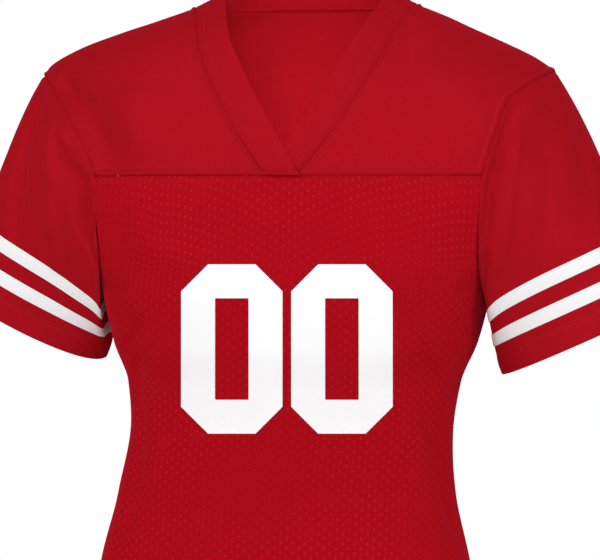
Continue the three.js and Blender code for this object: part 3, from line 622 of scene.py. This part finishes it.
def outward(points, centre):
    """The same points, with the columns turned round if they would face inwards."""
    away = points - np.asarray(centre, float)
    faces_in = (cloth_normals(points) * away).sum(-1).mean() < 0
    return points[:, ::-1] if faces_in else points


# %% [markdown]
# ## Knits, tape, film and thread
# The body is pinhole mesh: small holes in staggered columns, in a matt knit, with a painted glint in
# each hole. The yoke, band and sleeves are a close shiny knit of tiny staggered cells whose tops have
# a painted highlight as well as a bump, and the white tape has the same. Both could be modelled thread
# by thread, but at this size a bump from the UV map's real lengths looks the same and stays light.

# %% Node helpers
def new_finish(name, roughness, specular, sheen=0.0, glow=(1, 1, 1), satin=0.0):
    """A finish whose gloss and sheen take the cloth's own colour, as dyed threads' do."""
    finish = bpy.data.materials.new(name)
    finish.use_nodes = True
    tree = finish.node_tree
    shader = tree.nodes["Principled BSDF"]
    shader.inputs["Roughness"].default_value = roughness
    shader.inputs["Metallic"].default_value = satin
    shader.inputs["Specular IOR Level"].default_value = specular
    shader.inputs["Specular Tint"].default_value = (*glow, 1)
    shader.inputs["Sheen Weight"].default_value = sheen
    shader.inputs["Sheen Roughness"].default_value = 0.45
    shader.inputs["Sheen Tint"].default_value = (*glow, 1)
    return finish, tree, shader


def maths(tree, operation, *values):
    node = tree.nodes.new("ShaderNodeMath")
    node.operation = operation
    for socket, value in zip(node.inputs, values):
        if isinstance(value, (int, float)):
            socket.default_value = value
        else:
            tree.links.new(value, socket)
    return node.outputs[0]


def cloth_mm(tree):
    """Distances across and up the cloth, in millimetres."""
    place = tree.nodes.new("ShaderNodeUVMap")
    place.uv_map = "UVMap"
    split = tree.nodes.new("ShaderNodeSeparateXYZ")
    tree.links.new(place.outputs["UV"], split.inputs["Vector"])
    return place.outputs["UV"], maths(tree, "MULTIPLY", split.outputs["X"], 1000.0), maths(
        tree, "MULTIPLY", split.outputs["Y"], 1000.0
    )


def smooth_step(tree, value, low, high, to_low, to_high):
    node = tree.nodes.new("ShaderNodeMapRange")
    node.interpolation_type = "SMOOTHSTEP"
    tree.links.new(value, node.inputs["Value"])
    for socket, number in zip(("From Min", "From Max", "To Min", "To Max"), (low, high, to_low, to_high)):
        node.inputs[socket].default_value = number
    return node.outputs["Result"]


def blotches(tree, per_metre, detail):
    place = tree.nodes.new("ShaderNodeTexCoord")
    noise = tree.nodes.new("ShaderNodeTexNoise")
    noise.inputs["Scale"].default_value = per_metre
    noise.inputs["Detail"].default_value = detail
    tree.links.new(place.outputs["Object"], noise.inputs["Vector"])
    return noise.outputs["Fac"]


def mixed_colour(tree, share, low, high):
    node = tree.nodes.new("ShaderNodeMix")
    node.data_type = "RGBA"
    tree.links.new(share, node.inputs["Factor"])
    for socket, colour in ((node.inputs[6], low), (node.inputs[7], high)):
        if isinstance(colour, tuple):
            socket.default_value = (*colour, 1)
        else:
            tree.links.new(colour, socket)
    return node.outputs[2]


def raised(tree, shader, height, depth, strength=1.0, under=None):
    node = tree.nodes.new("ShaderNodeBump")
    node.inputs["Distance"].default_value = depth
    node.inputs["Strength"].default_value = strength
    tree.links.new(height, node.inputs["Height"])
    if under is not None:
        tree.links.new(under, node.inputs["Normal"])
    tree.links.new(node.outputs["Normal"], shader.inputs["Normal"])
    return node.outputs["Normal"]


# %% Pinhole mesh knit
RED_GLOW = (0.75, 0.03, 0.06)
HOLE_ACROSS, HOLE_UP = 5.3, 8.3  # spacing of the pinholes in mm
HOLE_HALF_WIDTH, HOLE_HALF_HEIGHT = 0.95, 1.4


def pinholes(tree, across, up):
    """1 in a pinhole and 0 between them."""
    column = maths(tree, "DIVIDE", across, HOLE_ACROSS)
    odd = maths(tree, "MODULO", maths(tree, "ABSOLUTE", maths(tree, "FLOOR", column)), 2.0)
    row = maths(tree, "ADD", maths(tree, "DIVIDE", up, HOLE_UP), maths(tree, "MULTIPLY", odd, 0.5))
    from_x = maths(tree, "SUBTRACT", maths(tree, "FRACT", column), 0.5)
    from_y = maths(tree, "SUBTRACT", maths(tree, "FRACT", row), 0.5)
    x = maths(tree, "MULTIPLY", from_x, HOLE_ACROSS / HOLE_HALF_WIDTH)
    y = maths(tree, "MULTIPLY", from_y, HOLE_UP / HOLE_HALF_HEIGHT)
    far = maths(tree, "SQRT", maths(tree, "ADD", maths(tree, "MULTIPLY", x, x), maths(tree, "MULTIPLY", y, y)))
    return smooth_step(tree, far, 0.7, 1.3, 1.0, 0.0)


def wave(tree, value, pitch):
    return maths(tree, "SINE", maths(tree, "MULTIPLY", value, 2 * math.pi / pitch))


def make_mesh_knit():
    finish, tree, shader = new_finish("pinhole_mesh_knit", 0.6, 0.0, 0.36, RED_GLOW, 0.12)
    _, across, up = cloth_mm(tree)
    hole = pinholes(tree, across, up)
    patches = blotches(tree, 14.0, 3.0)
    base = mixed_colour(tree, patches, (0.37, 0.0036, 0.0092), (0.41, 0.0042, 0.0105))
    # Painted glint: each pinhole is coloured lighter than the cloth, more strongly in random patches.
    hole_glint = maths(tree, "MULTIPLY", hole, smooth_step(tree, blotches(tree, 9.0, 2.0), 0.35, 0.65, 0.3, 0.75))
    colour = mixed_colour(tree, hole_glint, base, (0.52, 0.012, 0.022))
    tree.links.new(colour, shader.inputs["Base Color"])
    ribs = maths(tree, "MULTIPLY", wave(tree, across, 1.325), wave(tree, up, 1.0375))
    height = maths(tree, "SUBTRACT", maths(tree, "MULTIPLY", ribs, 0.12), hole)
    raised(tree, shader, height, 0.00028)
    return finish


mesh_knit = make_mesh_knit()

# %% Shiny close knit
def make_satin_knit():
    finish, tree, shader = new_finish("shiny_close_knit", 0.52, 0.0, 0.42, RED_GLOW, 0.35)
    _, across, up = cloth_mm(tree)
    cells = maths(tree, "MULTIPLY", wave(tree, across, 1.4), wave(tree, up, 1.8))
    patches = blotches(tree, 11.0, 3.0)
    base = mixed_colour(tree, patches, (0.385, 0.0048, 0.0105), (0.43, 0.0056, 0.0125))
    # Painted highlight: the tops of the knit's cells are coloured lighter, over their bump.
    cell_glint = maths(tree, "MULTIPLY", maths(tree, "ADD", cells, 1.0), 0.16)
    colour = mixed_colour(tree, cell_glint, base, (0.6, 0.014, 0.026))
    tree.links.new(colour, shader.inputs["Base Color"])
    raised(tree, shader, cells, 0.00009)
    return finish


satin_knit = make_satin_knit()

# %% White tape, white film and thread
def make_stripe_tape():
    finish, tree, shader = new_finish("white_knit_tape", 0.6, 0.2)
    _, across, up = cloth_mm(tree)
    cells = maths(tree, "MULTIPLY", wave(tree, across, 1.2), wave(tree, up, 1.2))
    # Painted highlight: the tops of the tape's knit cells are coloured lighter, over their bump.
    cell_glint = maths(tree, "MULTIPLY", maths(tree, "ADD", cells, 1.0), 0.5)
    colour = mixed_colour(tree, cell_glint, (0.86, 0.86, 0.875), (0.93, 0.93, 0.935))
    tree.links.new(colour, shader.inputs["Base Color"])
    raised(tree, shader, cells, 0.00006)
    return finish


def make_numeral_film():
    finish, tree, shader = new_finish("white_pressed_film", 0.5, 0.2)
    _, across, up = cloth_mm(tree)
    patches = blotches(tree, 20.0, 2.0)
    colour = mixed_colour(tree, patches, (0.94, 0.94, 0.945), (0.965, 0.965, 0.965))
    tree.links.new(colour, shader.inputs["Base Color"])
    ribs = maths(tree, "MULTIPLY", wave(tree, across, 1.325), wave(tree, up, 1.0375))
    raised(tree, shader, ribs, 0.00003)
    return finish


def make_thread(name, colour):
    finish, tree, shader = new_finish(name, 0.6, 0.15)
    patches = blotches(tree, 300.0, 1.0)
    darker = tuple(value * 0.88 for value in colour)
    tree.links.new(mixed_colour(tree, patches, darker, colour), shader.inputs["Base Color"])
    return finish


stripe_tape = make_stripe_tape()
numeral_film = make_numeral_film()
red_thread = make_thread("red_thread", (0.5, 0.014, 0.026))
white_thread = make_thread("white_thread", (0.93, 0.93, 0.93))

# %% [markdown]
# ## Front and back body
# Below the armpits a row of the panel runs straight from side seam to side seam. Above them
# its ends follow the armholes, and its middle stays level, as the mesh's rows of pinholes do.

# %% Body panels
def body_place(is_back):
    first_side = 1 if is_back else -1
    stations = HALF_ROUND - (BACK_YOKE_STATIONS if is_back else FRONT_YOKE_STATIONS)
    seam_z = BACK_YOKE_Z if is_back else FRONT_YOKE_Z
    line = SEAM_LINE / (MM_PER_DEGREE if not is_back else 1.9)

    def ends(side, z):
        up = np.clip((z - ARMPIT_Z) / (seam_z - ARMPIT_Z), 0, 1) * stations
        angle, end_z = armhole_place(side, HALF_ROUND + up if is_back else HALF_ROUND - up)
        angle = np.where(is_back & (angle * side < 90), side * 90, angle)
        below = z <= ARMPIT_Z
        at_side = side * (90 + line) if is_back else side * (90 - line)
        return np.where(below, at_side, angle), np.where(below, z, end_z)

    def place(across, z):
        across, z = np.broadcast_arrays(across, z)
        (first, first_z), (last, last_z) = ends(first_side, z), ends(-first_side, z)
        if is_back:
            last = last + 360
        end_z = np.where(across < 0.5, first_z, last_z)
        return body_point(mix(first, last, across), mix(z, end_z, np.abs(2 * across - 1) ** 3))

    return place


HEM_STEPS = np.array([0, 0.6, 1.8, 4, 7, 10, 13, 15, 16, 16.6, 17.4, 18.4, 19.3, 20, 20.7, 22, 24.5])


def body_piece(name, is_back, columns, rows):
    seam_z = (BACK_YOKE_Z if is_back else FRONT_YOKE_Z) - SEAM_LINE
    length = seam_z - HEM_Z
    heights = HEM_Z + shares_along(length, rows, start=HEM_STEPS) * length
    points = even_columns(body_place(is_back), heights, columns)
    points = shape_edges(points, {"left": "plain", "right": "plain", "high": "tucked", "low": "hemmed"})
    shaped = points
    for edge in ("left", "right", "high"):
        points = turn_in(points, edge)
    points = fold_under(points, 22)
    return sew_piece(name, points, 0.6, mesh_knit, first_row=8), shaped


front_body, front_body_points = body_piece("front_body_cloth", False, 150, 165)
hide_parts("front_body")
back_body, back_body_points = body_piece("back_body_cloth", True, 120, 140)
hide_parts("back_body")

# %% [markdown]
# ## The neck's measures
# The band's lower edge is sewn to the yoke and its upper edge is a fold. Both are given from
# the point of the V, where the band's ends cross, to the side of the neck, and then round the
# back by angle.

# %% Places on the neck
NECK_FRONT = np.array([  # lower edge x and z, upper edge x and z
    [14, -150, -14.6, -150.2], [36, -120, 11, -107], [54, -92, 28.5, -79], [69, -66, 42.5, -54],
    [80.5, -42, 55.5, -30], [89.5, -18, 67.5, -3], [100, 3, 76, 18],
], float)
NECK_BACK = np.array([  # angle from the back middle, lower edge z, upper edge z
    [90, 3, 18], [68, 3, 22], [45, 3.5, 26], [22, 4, 29], [0, 4, 30],
], float)
NECK_LEAN, LEAN_FROM_Z = 4.0, -30.0
NECK_ALLOWANCE = 1.3  # the band covers it from inside
FRONT_NECK_ROWS = 6.0
NECK_ROWS = 10.0


def neck_place(side, row, across):
    """Angle and height of a place on the band: row from the V, across from the lower edge."""
    row, across = np.broadcast_arrays(np.asarray(row, float), np.asarray(across, float))
    front_row = np.clip(row, 0, FRONT_NECK_ROWS)
    x = mix(along_rows(NECK_FRONT[:, 0], front_row), along_rows(NECK_FRONT[:, 2], front_row), across)
    z = mix(along_rows(NECK_FRONT[:, 1], front_row), along_rows(NECK_FRONT[:, 3], front_row), across)
    lean = NECK_LEAN * np.clip((z - LEAN_FROM_Z) / (NECK_SIDE_Z - LEAN_FROM_Z), 0, 1)
    front = front_angle(side * x + lean, z)
    back_row = np.clip(row - FRONT_NECK_ROWS, 0, NECK_ROWS - FRONT_NECK_ROWS)
    back = side * (180 - along_rows(NECK_BACK[:, 0], back_row))
    back_z = mix(along_rows(NECK_BACK[:, 1], back_row), along_rows(NECK_BACK[:, 2], back_row), across)
    is_front = row < FRONT_NECK_ROWS
    return np.where(is_front, front, back), np.where(is_front, z, back_z)


# %% [markdown]
# ## Front yokes
# Each front yoke is a four-sided panel between the neck, the armhole, the shoulder seam and
# the long seam over the mesh. Its inside is blended from those four edges, which is how a
# ruled surface is drawn by hand. The long seam is topstitched and stands up as a double ridge.

# %% Front yoke pieces
def four_sided(low, high, inner, outer, out, up):
    """Angle and height inside a panel, blended from its four edges."""
    found = []
    for key in (0, 1):
        edges = mix(inner(up)[key], outer(up)[key], out) + mix(low(out)[key], high(out)[key], up)
        low_corners = mix(inner(0 * up)[key], outer(0 * up)[key], out)
        high_corners = mix(inner(0 * up + 1)[key], outer(0 * up + 1)[key], out)
        found.append(edges - mix(low_corners, high_corners, up))
    return found


def front_yoke_place(side):
    inner = lambda up: neck_place(side, up * FRONT_NECK_ROWS * 0.9999, 0.0)
    outer = lambda up: armhole_place(side, FRONT_YOKE_STATIONS * (1 - up))
    between = lambda up: lambda out: [mix(inner(up)[k], outer(up)[k], out) for k in (0, 1)]
    low, high = between(np.array(0.0)), between(np.array(1.0))

    def place(out, up):
        out, up = np.broadcast_arrays(out, up)
        angle, z = four_sided(low, high, inner, outer, out, up)
        return body_point(angle, z + SEAM_LINE * (1 - up))

    return place


def front_yoke_piece(name, side, columns=84, rows=62):
    up = shares_along(135.0, rows)
    points = even_columns(front_yoke_place(side), up, columns)
    points = outward(points, (0, 20, -100))
    edges = {"left": "stitched", "right": "stitched", "low": "stitched", "high": "plain"}
    points = shape_edges(points, edges)
    shaped = points
    for edge in ("left", "right", "low", "high"):
        points = turn_in(points, edge)
    return sew_piece(name, points, 0.6, satin_knit), shaped


front_yoke_right, yoke_right_points = front_yoke_piece("front_yoke_right_cloth", -1)
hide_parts("front_yoke_right")
front_yoke_left, yoke_left_points = front_yoke_piece("front_yoke_left_cloth", 1)
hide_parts("front_yoke_left")

# %% [markdown]
# ## Back yoke
# The back yoke is one piece from armhole to armhole. Its upper edge runs along one shoulder
# seam, round the back of the neck and along the other. It is blended in width and height
# rather than in angle, because its shoulder ends come to a point.

# %% Back yoke piece
def back_seam_angle(z):
    return 90 + SEAM_LINE / (back_depth(z) - side_depth(z)) * 180 / np.pi


NECK_SHARE = 0.4  # share of half of the upper edge that is neck, not shoulder


def back_yoke_place(out, up):
    """out runs from -1 at the right armhole to 1 at the left one."""
    out, up = np.broadcast_arrays(out * 2 - 1, up)
    found = np.zeros(out.shape + (2,))
    for side in (-1, 1):
        share = np.abs(out)

        def seen(angle, z):
            return form_point(angle, z)[..., 0], z

        hole = lambda u: seen(*armhole_place(side, ROUND - BACK_YOKE_STATIONS * (1 - u)))
        neck = seen(*neck_place(side, NECK_ROWS - (NECK_ROWS - FRONT_NECK_ROWS) * np.clip(share / NECK_SHARE, 0, 1), 0.0))
        shoulder_z = mix(NECK_SIDE_Z, SHOULDER_TIP_Z, np.clip((share - NECK_SHARE) / (1 - NECK_SHARE), 0, 1))
        shoulder = seen(side * 90.0 + 0 * shoulder_z, shoulder_z)
        top = [np.where(share < NECK_SHARE, neck[k], shoulder[k]) for k in (0, 1)]
        top_middle = seen(*neck_place(side, np.array(NECK_ROWS), 0.0))
        middle = seen(180.0 + 0 * up, mix(BACK_YOKE_Z, top_middle[1], up))
        low_middle, low_hole = seen(180.0, BACK_YOKE_Z), hole(0 * up)
        tip = hole(0 * up + 1)
        here = hole(up)
        for k in (0, 1):
            low = mix(low_middle[k], low_hole[k], share)
            edges = mix(middle[k], here[k], share) + mix(low, top[k], up)
            corners = mix(low, mix(top_middle[k], tip[k], share), up)
            found[..., k] = np.where(np.sign(out) * side >= 0, edges - corners, found[..., k])
    x, z = found[..., 0], found[..., 1] + SEAM_LINE * (1 - up)
    limit = 180 - back_seam_angle(z)
    return body_point(180 - np.clip(front_angle(x, z), -limit, limit), z)


points = even_columns(back_yoke_place, shares_along(130.0, 58), 190)
points = outward(points, (0, 0, -100))
points = shape_edges(points, {"left": "stitched", "right": "stitched", "low": "stitched", "high": "plain"})
back_yoke_points = points
for edge in ("left", "right", "low", "high"):
    points = turn_in(points, edge, NECK_ALLOWANCE if edge == "high" else 3.2)
back_yoke = sew_piece("back_yoke_cloth", points, 0.6, satin_knit)
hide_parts("back_yoke")

# %% [markdown]
# ## Neck band
# The band is a strip folded in two along its length, so it is twice as thick as the yoke and
# its upper edge is a round fold. Its ends cross at the point of the V: the one from the
# wearer's right lies on top, so it rises a little there and the other one sinks.

# %% Neck band piece
BAND_WIDTH = 27.0
BAND_LAYERS = 1.5  # from the outer layer's face to the inner layer's
LAP_LIFT, LAP_ROWS = 1.25, 2.2
SEWN_DOWN = 1.05  # both ends sink by this where the long seam catches them
BAND_STEPS = np.array([0, 0.35, 0.75, 1.2, 1.7, 2.3, 3.0, 4.2, 7, 11, 15, 19, 22.5, 24.8, 26.0, 26.6])


def band_place(along, across):
    along, across = np.broadcast_arrays(along, across)
    side = np.where(along < 0.5, -1, 1)
    row = (1 - np.abs(2 * along - 1)) * NECK_ROWS
    angle, z = (np.where(side < 0, right, left) for right, left in zip(neck_place(-1, row, across), neck_place(1, row, across)))
    ease = np.clip(1 - row / LAP_ROWS, 0, 1)
    lap = -side * LAP_LIFT * ease * ease * (3 - 2 * ease) - SEWN_DOWN * bump(row, 0, 0.16)
    return body_point(angle, z) + body_normal(angle, z) * lap[..., None]


across_shares = mix(SEAM_LINE / BAND_WIDTH, 1.0, BAND_STEPS / BAND_STEPS[-1])
points = outward(even_columns(band_place, across_shares, 230), (4, 16, -60))
points = shape_edges(points, {"low": "plain"})
band_points = points
points = turn_in(points, "low", NECK_ALLOWANCE)
points = fold_under(points[::-1, ::-1], BAND_WIDTH - 0.5, BAND_LAYERS)[::-1, ::-1]
for edge in ("left", "right"):
    points = turn_in(points, edge)
neck_band = sew_piece("neck_band_cloth", points, 0.55, satin_knit)
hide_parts("neck_band")

# %% [markdown]
# ## Sleeves
# A sleeve is one piece closed by a seam under the arm. It is laid out from the cuff upwards:
# a folded and twice stitched hem, then the length that carries the stripes, then the rest up
# to the armhole.

# %% Sleeve pieces
CUFF_STEPS = HEM_STEPS
STRIPE_REACH = 76.0


def sleeve_rows(name, stations):
    lengths, shares = sleeve_lengths(name, stations)
    whole = lengths[-1]
    low = np.concatenate([CUFF_STEPS, np.arange(27, STRIPE_REACH + 0.1, 3.5)])
    upper = shares_along(130.0, 42, start=np.array([0.0]))[1:]
    distance = np.concatenate([
        low[:, None] * np.ones((1, len(stations))), low[-1] + (whole - low[-1])[None, :] * upper[:, None],
    ])
    return np.stack([
        np.interp(distance[:, j], lengths[:, j], shares[:, j]) for j in range(len(stations))
    ], axis=1)


def stations_round(name, count):
    """Stations from the underarm seam right round, evenly spaced on the cloth."""
    coarse = np.linspace(HALF_ROUND, HALF_ROUND + ROUND, 361)
    ring = sleeve_form(name, coarse, np.full(361, 0.5))
    length = np.concatenate([[0], np.cumsum(np.linalg.norm(np.diff(ring, axis=0), axis=-1))])
    return np.interp(shares_along(length[-1], count) * length[-1], length, coarse)


def sleeve_piece(name, count=190):
    stations = stations_round(name, count)
    shares = sleeve_rows(name, stations)
    points = sleeve_point(name, stations[None, :] * np.ones_like(shares), shares)
    points[:, -1] = points[:, 0]
    side, x, y, z = SLEEVES[name][:4]
    points = outward(points, (x * 0.93, y, z + 90))
    points[-1] = points[-1] + unit(points[-2] - points[-1]) * SEAM_LINE
    points = shape_edges(points, {"left": "plain", "right": "plain", "high": "tucked", "low": "hemmed"})
    points[:, -1] = points[:, 0]
    shaped = points
    points = turn_in(points, "high")
    points = fold_under(points, 22)
    points[:, -1] = points[:, 0]
    piece = sew_piece(f"sleeve_{name}_cloth", points, 0.6, satin_knit, closed=True, first_row=8)
    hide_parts(f"sleeve_{name}")
    return piece, shaped


sleeve_right, sleeve_right_points = sleeve_piece("right")
sleeve_left, sleeve_left_points = sleeve_piece("left")

# %% [markdown]
# ## Stripes
# Each sleeve has two stripes of white knit tape, sewn on along both edges. They follow the
# sleeve's own surface, so they are made from it, moved out by the tape's thickness.

# %% Stripe pieces
STRIPES = {"lower": (28.2, 40.9), "upper": (55.0, 67.7)}
STRIPE_DIP = {"right": 0.16, "left": 0.03}  # they draw towards the cuff under the arm
TAPE_LIFT = 0.85


def stripe_piece(name, level, count=190):
    stations = stations_round(name, count)
    lengths, shares = sleeve_lengths(name, stations)
    low, high = STRIPES[level]
    width = high - low
    rows = low + np.array([0, 0.3, 0.8, 1.5, 2.5, width / 2, width - 2.5, width - 1.5, width - 0.8, width - 0.3, width])
    dip = 1 - STRIPE_DIP[name] * bump(np.mod(stations, ROUND), HALF_ROUND, 3.2)
    share = np.stack([np.interp(rows * dip[j], lengths[:, j], shares[:, j]) for j in range(len(stations))], axis=1)
    station = stations[None, :] * np.ones_like(share)
    base = sleeve_point(name, station, share)
    base[:, -1] = base[:, 0]
    side, x, y, z = SLEEVES[name][:4]
    base = outward(base, (x, y, z + 30))
    from_edge = np.minimum(rows - low, high - rows)[:, None]
    lift = TAPE_LIFT - 0.3 * bump(from_edge, 0, 0.4) - 0.18 * bump(from_edge, 1.5, 0.5)
    normals = cloth_normals(base)
    normals[:, 0] = normals[:, -1] = unit(normals[:, 0] + normals[:, -1])
    points = base + normals * lift[..., None]
    piece = sew_piece(f"stripe_{name}_{level}_tape", points, 0.5, stripe_tape, closed=True)
    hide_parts(f"stripe_{name}_{level}")
    return piece, points


stripes = {
    (name, level): stripe_piece(name, level) for name in ("right", "left") for level in STRIPES
}

# %% [markdown]
# ## Numerals
# The two zeros on the chest are plain octagonal blocks of white film, pressed on with heat.
# Each is a ring between an outer and an inner eight-sided outline, drawn here from its own
# sizes, and laid on the mesh along the camera's line of sight so that it looks square.

# %% Numeral outline
NUMERAL_WIDTH, NUMERAL_HEIGHT = 85.8, 143.3
NUMERAL_STROKE, NUMERAL_CORNER = 28.7, 22.8
HOLE_CORNER = 0.6
NUMERAL_GAP = 7.4
NUMERALS_MIDDLE = (-11.1, -301.4)  # sideways and up, on the sheet that faces the camera
SHEET_DISTANCE = (CAMERA_DISTANCE / MM) - 118.0
FILM_LIFT = 0.45


def eight_sided(width, height, corner, per_side):
    """Points of the outline, per_side to each straight side and each corner."""
    w, h, c = width / 2, height / 2, corner
    corners = np.array([
        [-w, -h + c], [-w, h - c], [-w + c, h], [w - c, h], [w, h - c], [w, -h + c], [w - c, -h], [-w + c, -h],
    ])
    ahead = np.roll(corners, -1, axis=0)
    pieces = [mix(a[None], b[None], (np.arange(n) / n)[:, None]) for a, b, n in zip(corners, ahead, per_side)]
    return np.concatenate([*pieces, corners[:1]])


def on_the_front(x_sheet, z_sheet):
    """Angle and height of the place that the camera sees behind a place on its sheet."""
    eye = np.array(camera_place) / MM
    away = -np.array(toward_camera)
    right = np.array([math.cos(CAMERA_AZIMUTH), math.sin(CAMERA_AZIMUTH), 0.0])
    above = np.cross(right, away)
    sight = unit(x_sheet[..., None] * right + z_sheet[..., None] * above + SHEET_DISTANCE * away)
    x, z = x_sheet + 18.0, z_sheet + CAMERA_TARGET.z / MM
    for _ in range(12):
        angle = front_angle(x, z)
        here = body_point(angle, z)
        seen = eye + sight * ((here[..., 1:2] - eye[1]) / sight[..., 1:2])
        x, z = x + seen[..., 0] - here[..., 0], z + seen[..., 2] - here[..., 2]
    return front_angle(x, z), z


def numeral(name, centre_x):
    sides = (44, 10, 20, 10, 44, 10, 20, 10)
    outer = eight_sided(NUMERAL_WIDTH, NUMERAL_HEIGHT, NUMERAL_CORNER, sides)
    inner = eight_sided(NUMERAL_WIDTH - 2 * NUMERAL_STROKE, NUMERAL_HEIGHT - 2 * NUMERAL_STROKE, HOLE_CORNER, sides)
    share = np.linspace(0, 1, 13)[:, None, None]
    sheet = mix(outer[None], inner[None], share)
    middle_z = NUMERALS_MIDDLE[1] - CAMERA_TARGET.z / MM
    angle, z = on_the_front(sheet[..., 0] + centre_x, sheet[..., 1] + middle_z)
    points = body_point(angle, z) + body_normal(angle, z) * FILM_LIFT
    facing = (cloth_normals(points)[..., 1]).mean()
    points = points[:, ::-1] if facing > 0 else points
    return sew_piece(name, points, 0.25, numeral_film, closed=True)


step = (NUMERAL_WIDTH + NUMERAL_GAP) / 2
numerals = [numeral("numeral_right_film", NUMERALS_MIDDLE[0] - step), numeral("numeral_left_film", NUMERALS_MIDDLE[0] + step)]

# %% [markdown]
# ## Stitches
# A machine leaves a row of short raised threads. One stitch is modelled from a small ball,
# drawn out along the seam, and then copied along each row at the machine's pitch.

# %% One stitch
STITCH_LENGTH, STITCH_WIDTH, STITCH_HEIGHT, STITCH_PITCH = 2.2, 0.5, 0.36, 2.9
bpy.ops.object.select_all(action="DESELECT")
bpy.ops.mesh.primitive_ico_sphere_add(subdivisions=1, radius=0.5)
one_stitch = bpy.context.object
stitch_shape = np.array([v.co[:] for v in one_stitch.data.vertices])
stitch_faces = np.array([f.vertices[:] for f in one_stitch.data.polygons])
bpy.data.objects.remove(one_stitch)


def stitch_places(line, normals, pitch=STITCH_PITCH):
    length = np.concatenate([[0], np.cumsum(np.linalg.norm(np.diff(line, axis=0), axis=-1))])
    at = np.arange(pitch / 2, length[-1] - pitch / 2, pitch)
    centre = np.stack([np.interp(at, length, line[:, k]) for k in range(3)], -1)
    ahead = np.stack([np.interp(at + 0.5, length, line[:, k]) for k in range(3)], -1)
    up = unit(np.stack([np.interp(at, length, normals[:, k]) for k in range(3)], -1))
    forward = unit(ahead - centre)
    aside = unit(np.cross(up, forward))
    return centre + up * 0.06, forward, aside, unit(np.cross(forward, aside))


def stitch_row(name, lines, thread, parent):
    shapes, faces, total = [], [], 0
    for line, normals in lines:
        centre, forward, aside, up = stitch_places(line, normals)
        threads = (
            centre[:, None]
            + stitch_shape[None, :, 0:1] * STITCH_LENGTH * forward[:, None]
            + stitch_shape[None, :, 1:2] * STITCH_WIDTH * aside[:, None]
            + stitch_shape[None, :, 2:3] * STITCH_HEIGHT * up[:, None]
        )
        count = len(centre)
        offsets = total + np.arange(count)[:, None, None] * len(stitch_shape)
        shapes.append(threads.reshape(-1, 3))
        faces.append((stitch_faces[None] + offsets).reshape(-1, 3))
        total += count * len(stitch_shape)
    mesh = bpy.data.meshes.new(name)
    mesh.from_pydata((np.concatenate(shapes) * MM).tolist(), [], np.concatenate(faces).tolist())
    mesh.polygons.foreach_set("use_smooth", [True] * len(mesh.polygons))
    mesh.materials.append(thread)
    row = bpy.data.objects.new(name, mesh)
    bpy.context.scene.collection.objects.link(row)
    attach(row, "root")
    print(f"{name}: {total // len(stitch_shape)} stitches, {len(mesh.polygons)} triangles")
    return row


def row_line(points, index):
    return points[index], cloth_normals(points)[index]


def column_line(points, index):
    return points[:, index], cloth_normals(points)[:, index]


# %% Rows of stitching
TOPSTITCH = 8  # the sewn edge's step at which the needle ran, 5 mm in
front_stitches = stitch_row(
    "front_body_stitching",
    [row_line(front_body_points, -1 - TOPSTITCH), row_line(front_body_points, 10), row_line(front_body_points, 13)],
    red_thread, front_body,
)
back_stitches = stitch_row(
    "back_body_stitching",
    [row_line(back_body_points, -1 - TOPSTITCH), row_line(back_body_points, 10), row_line(back_body_points, 13)],
    red_thread, back_body,
)


def yoke_rows(points):
    return [row_line(points, TOPSTITCH), column_line(points, TOPSTITCH), column_line(points, -1 - TOPSTITCH)]


yoke_right_stitches = stitch_row("front_yoke_right_stitching", yoke_rows(yoke_right_points), red_thread, front_yoke_right)
yoke_left_stitches = stitch_row("front_yoke_left_stitching", yoke_rows(yoke_left_points), red_thread, front_yoke_left)
back_yoke_stitches = stitch_row("back_yoke_stitching", yoke_rows(back_yoke_points), red_thread, back_yoke)
band_stitches = stitch_row("neck_band_stitching", [row_line(band_points, TOPSTITCH)], red_thread, neck_band)
cuff_stitches = {
    "right": stitch_row("sleeve_right_stitching", [row_line(sleeve_right_points, 10), row_line(sleeve_right_points, 13)], red_thread, sleeve_right),
    "left": stitch_row("sleeve_left_stitching", [row_line(sleeve_left_points, 10), row_line(sleeve_left_points, 13)], red_thread, sleeve_left),
}
tape_stitches = {
    key: stitch_row(f"stripe_{key[0]}_{key[1]}_stitching", [row_line(points, 3), row_line(points, 7)], white_thread, piece)
    for key, (piece, points) in stripes.items()
}

# %% [markdown]

# %% [markdown]
# ## Floor
# A plain pale disc below the hem catches the jersey's soft shadow. It stays small enough to
# keep out of the picture, which is cropped above the hem.

# %% Floor
bpy.ops.object.select_all(action="DESELECT")
bpy.ops.mesh.primitive_circle_add(vertices=96, radius=0.9, fill_type="NGON", location=(0, 0, HEM_Z * MM - 0.006))
floor = bpy.context.object
floor.name = "floor"
floor_finish, floor_tree, floor_shader = new_finish("pale_floor", 0.8, 0.2)
floor_tree.links.new(
    mixed_colour(floor_tree, blotches(floor_tree, 3.0, 2.0), (0.8, 0.8, 0.8), (0.84, 0.84, 0.835)),
    floor_shader.inputs["Base Color"],
)
floor.data.materials.append(floor_finish)
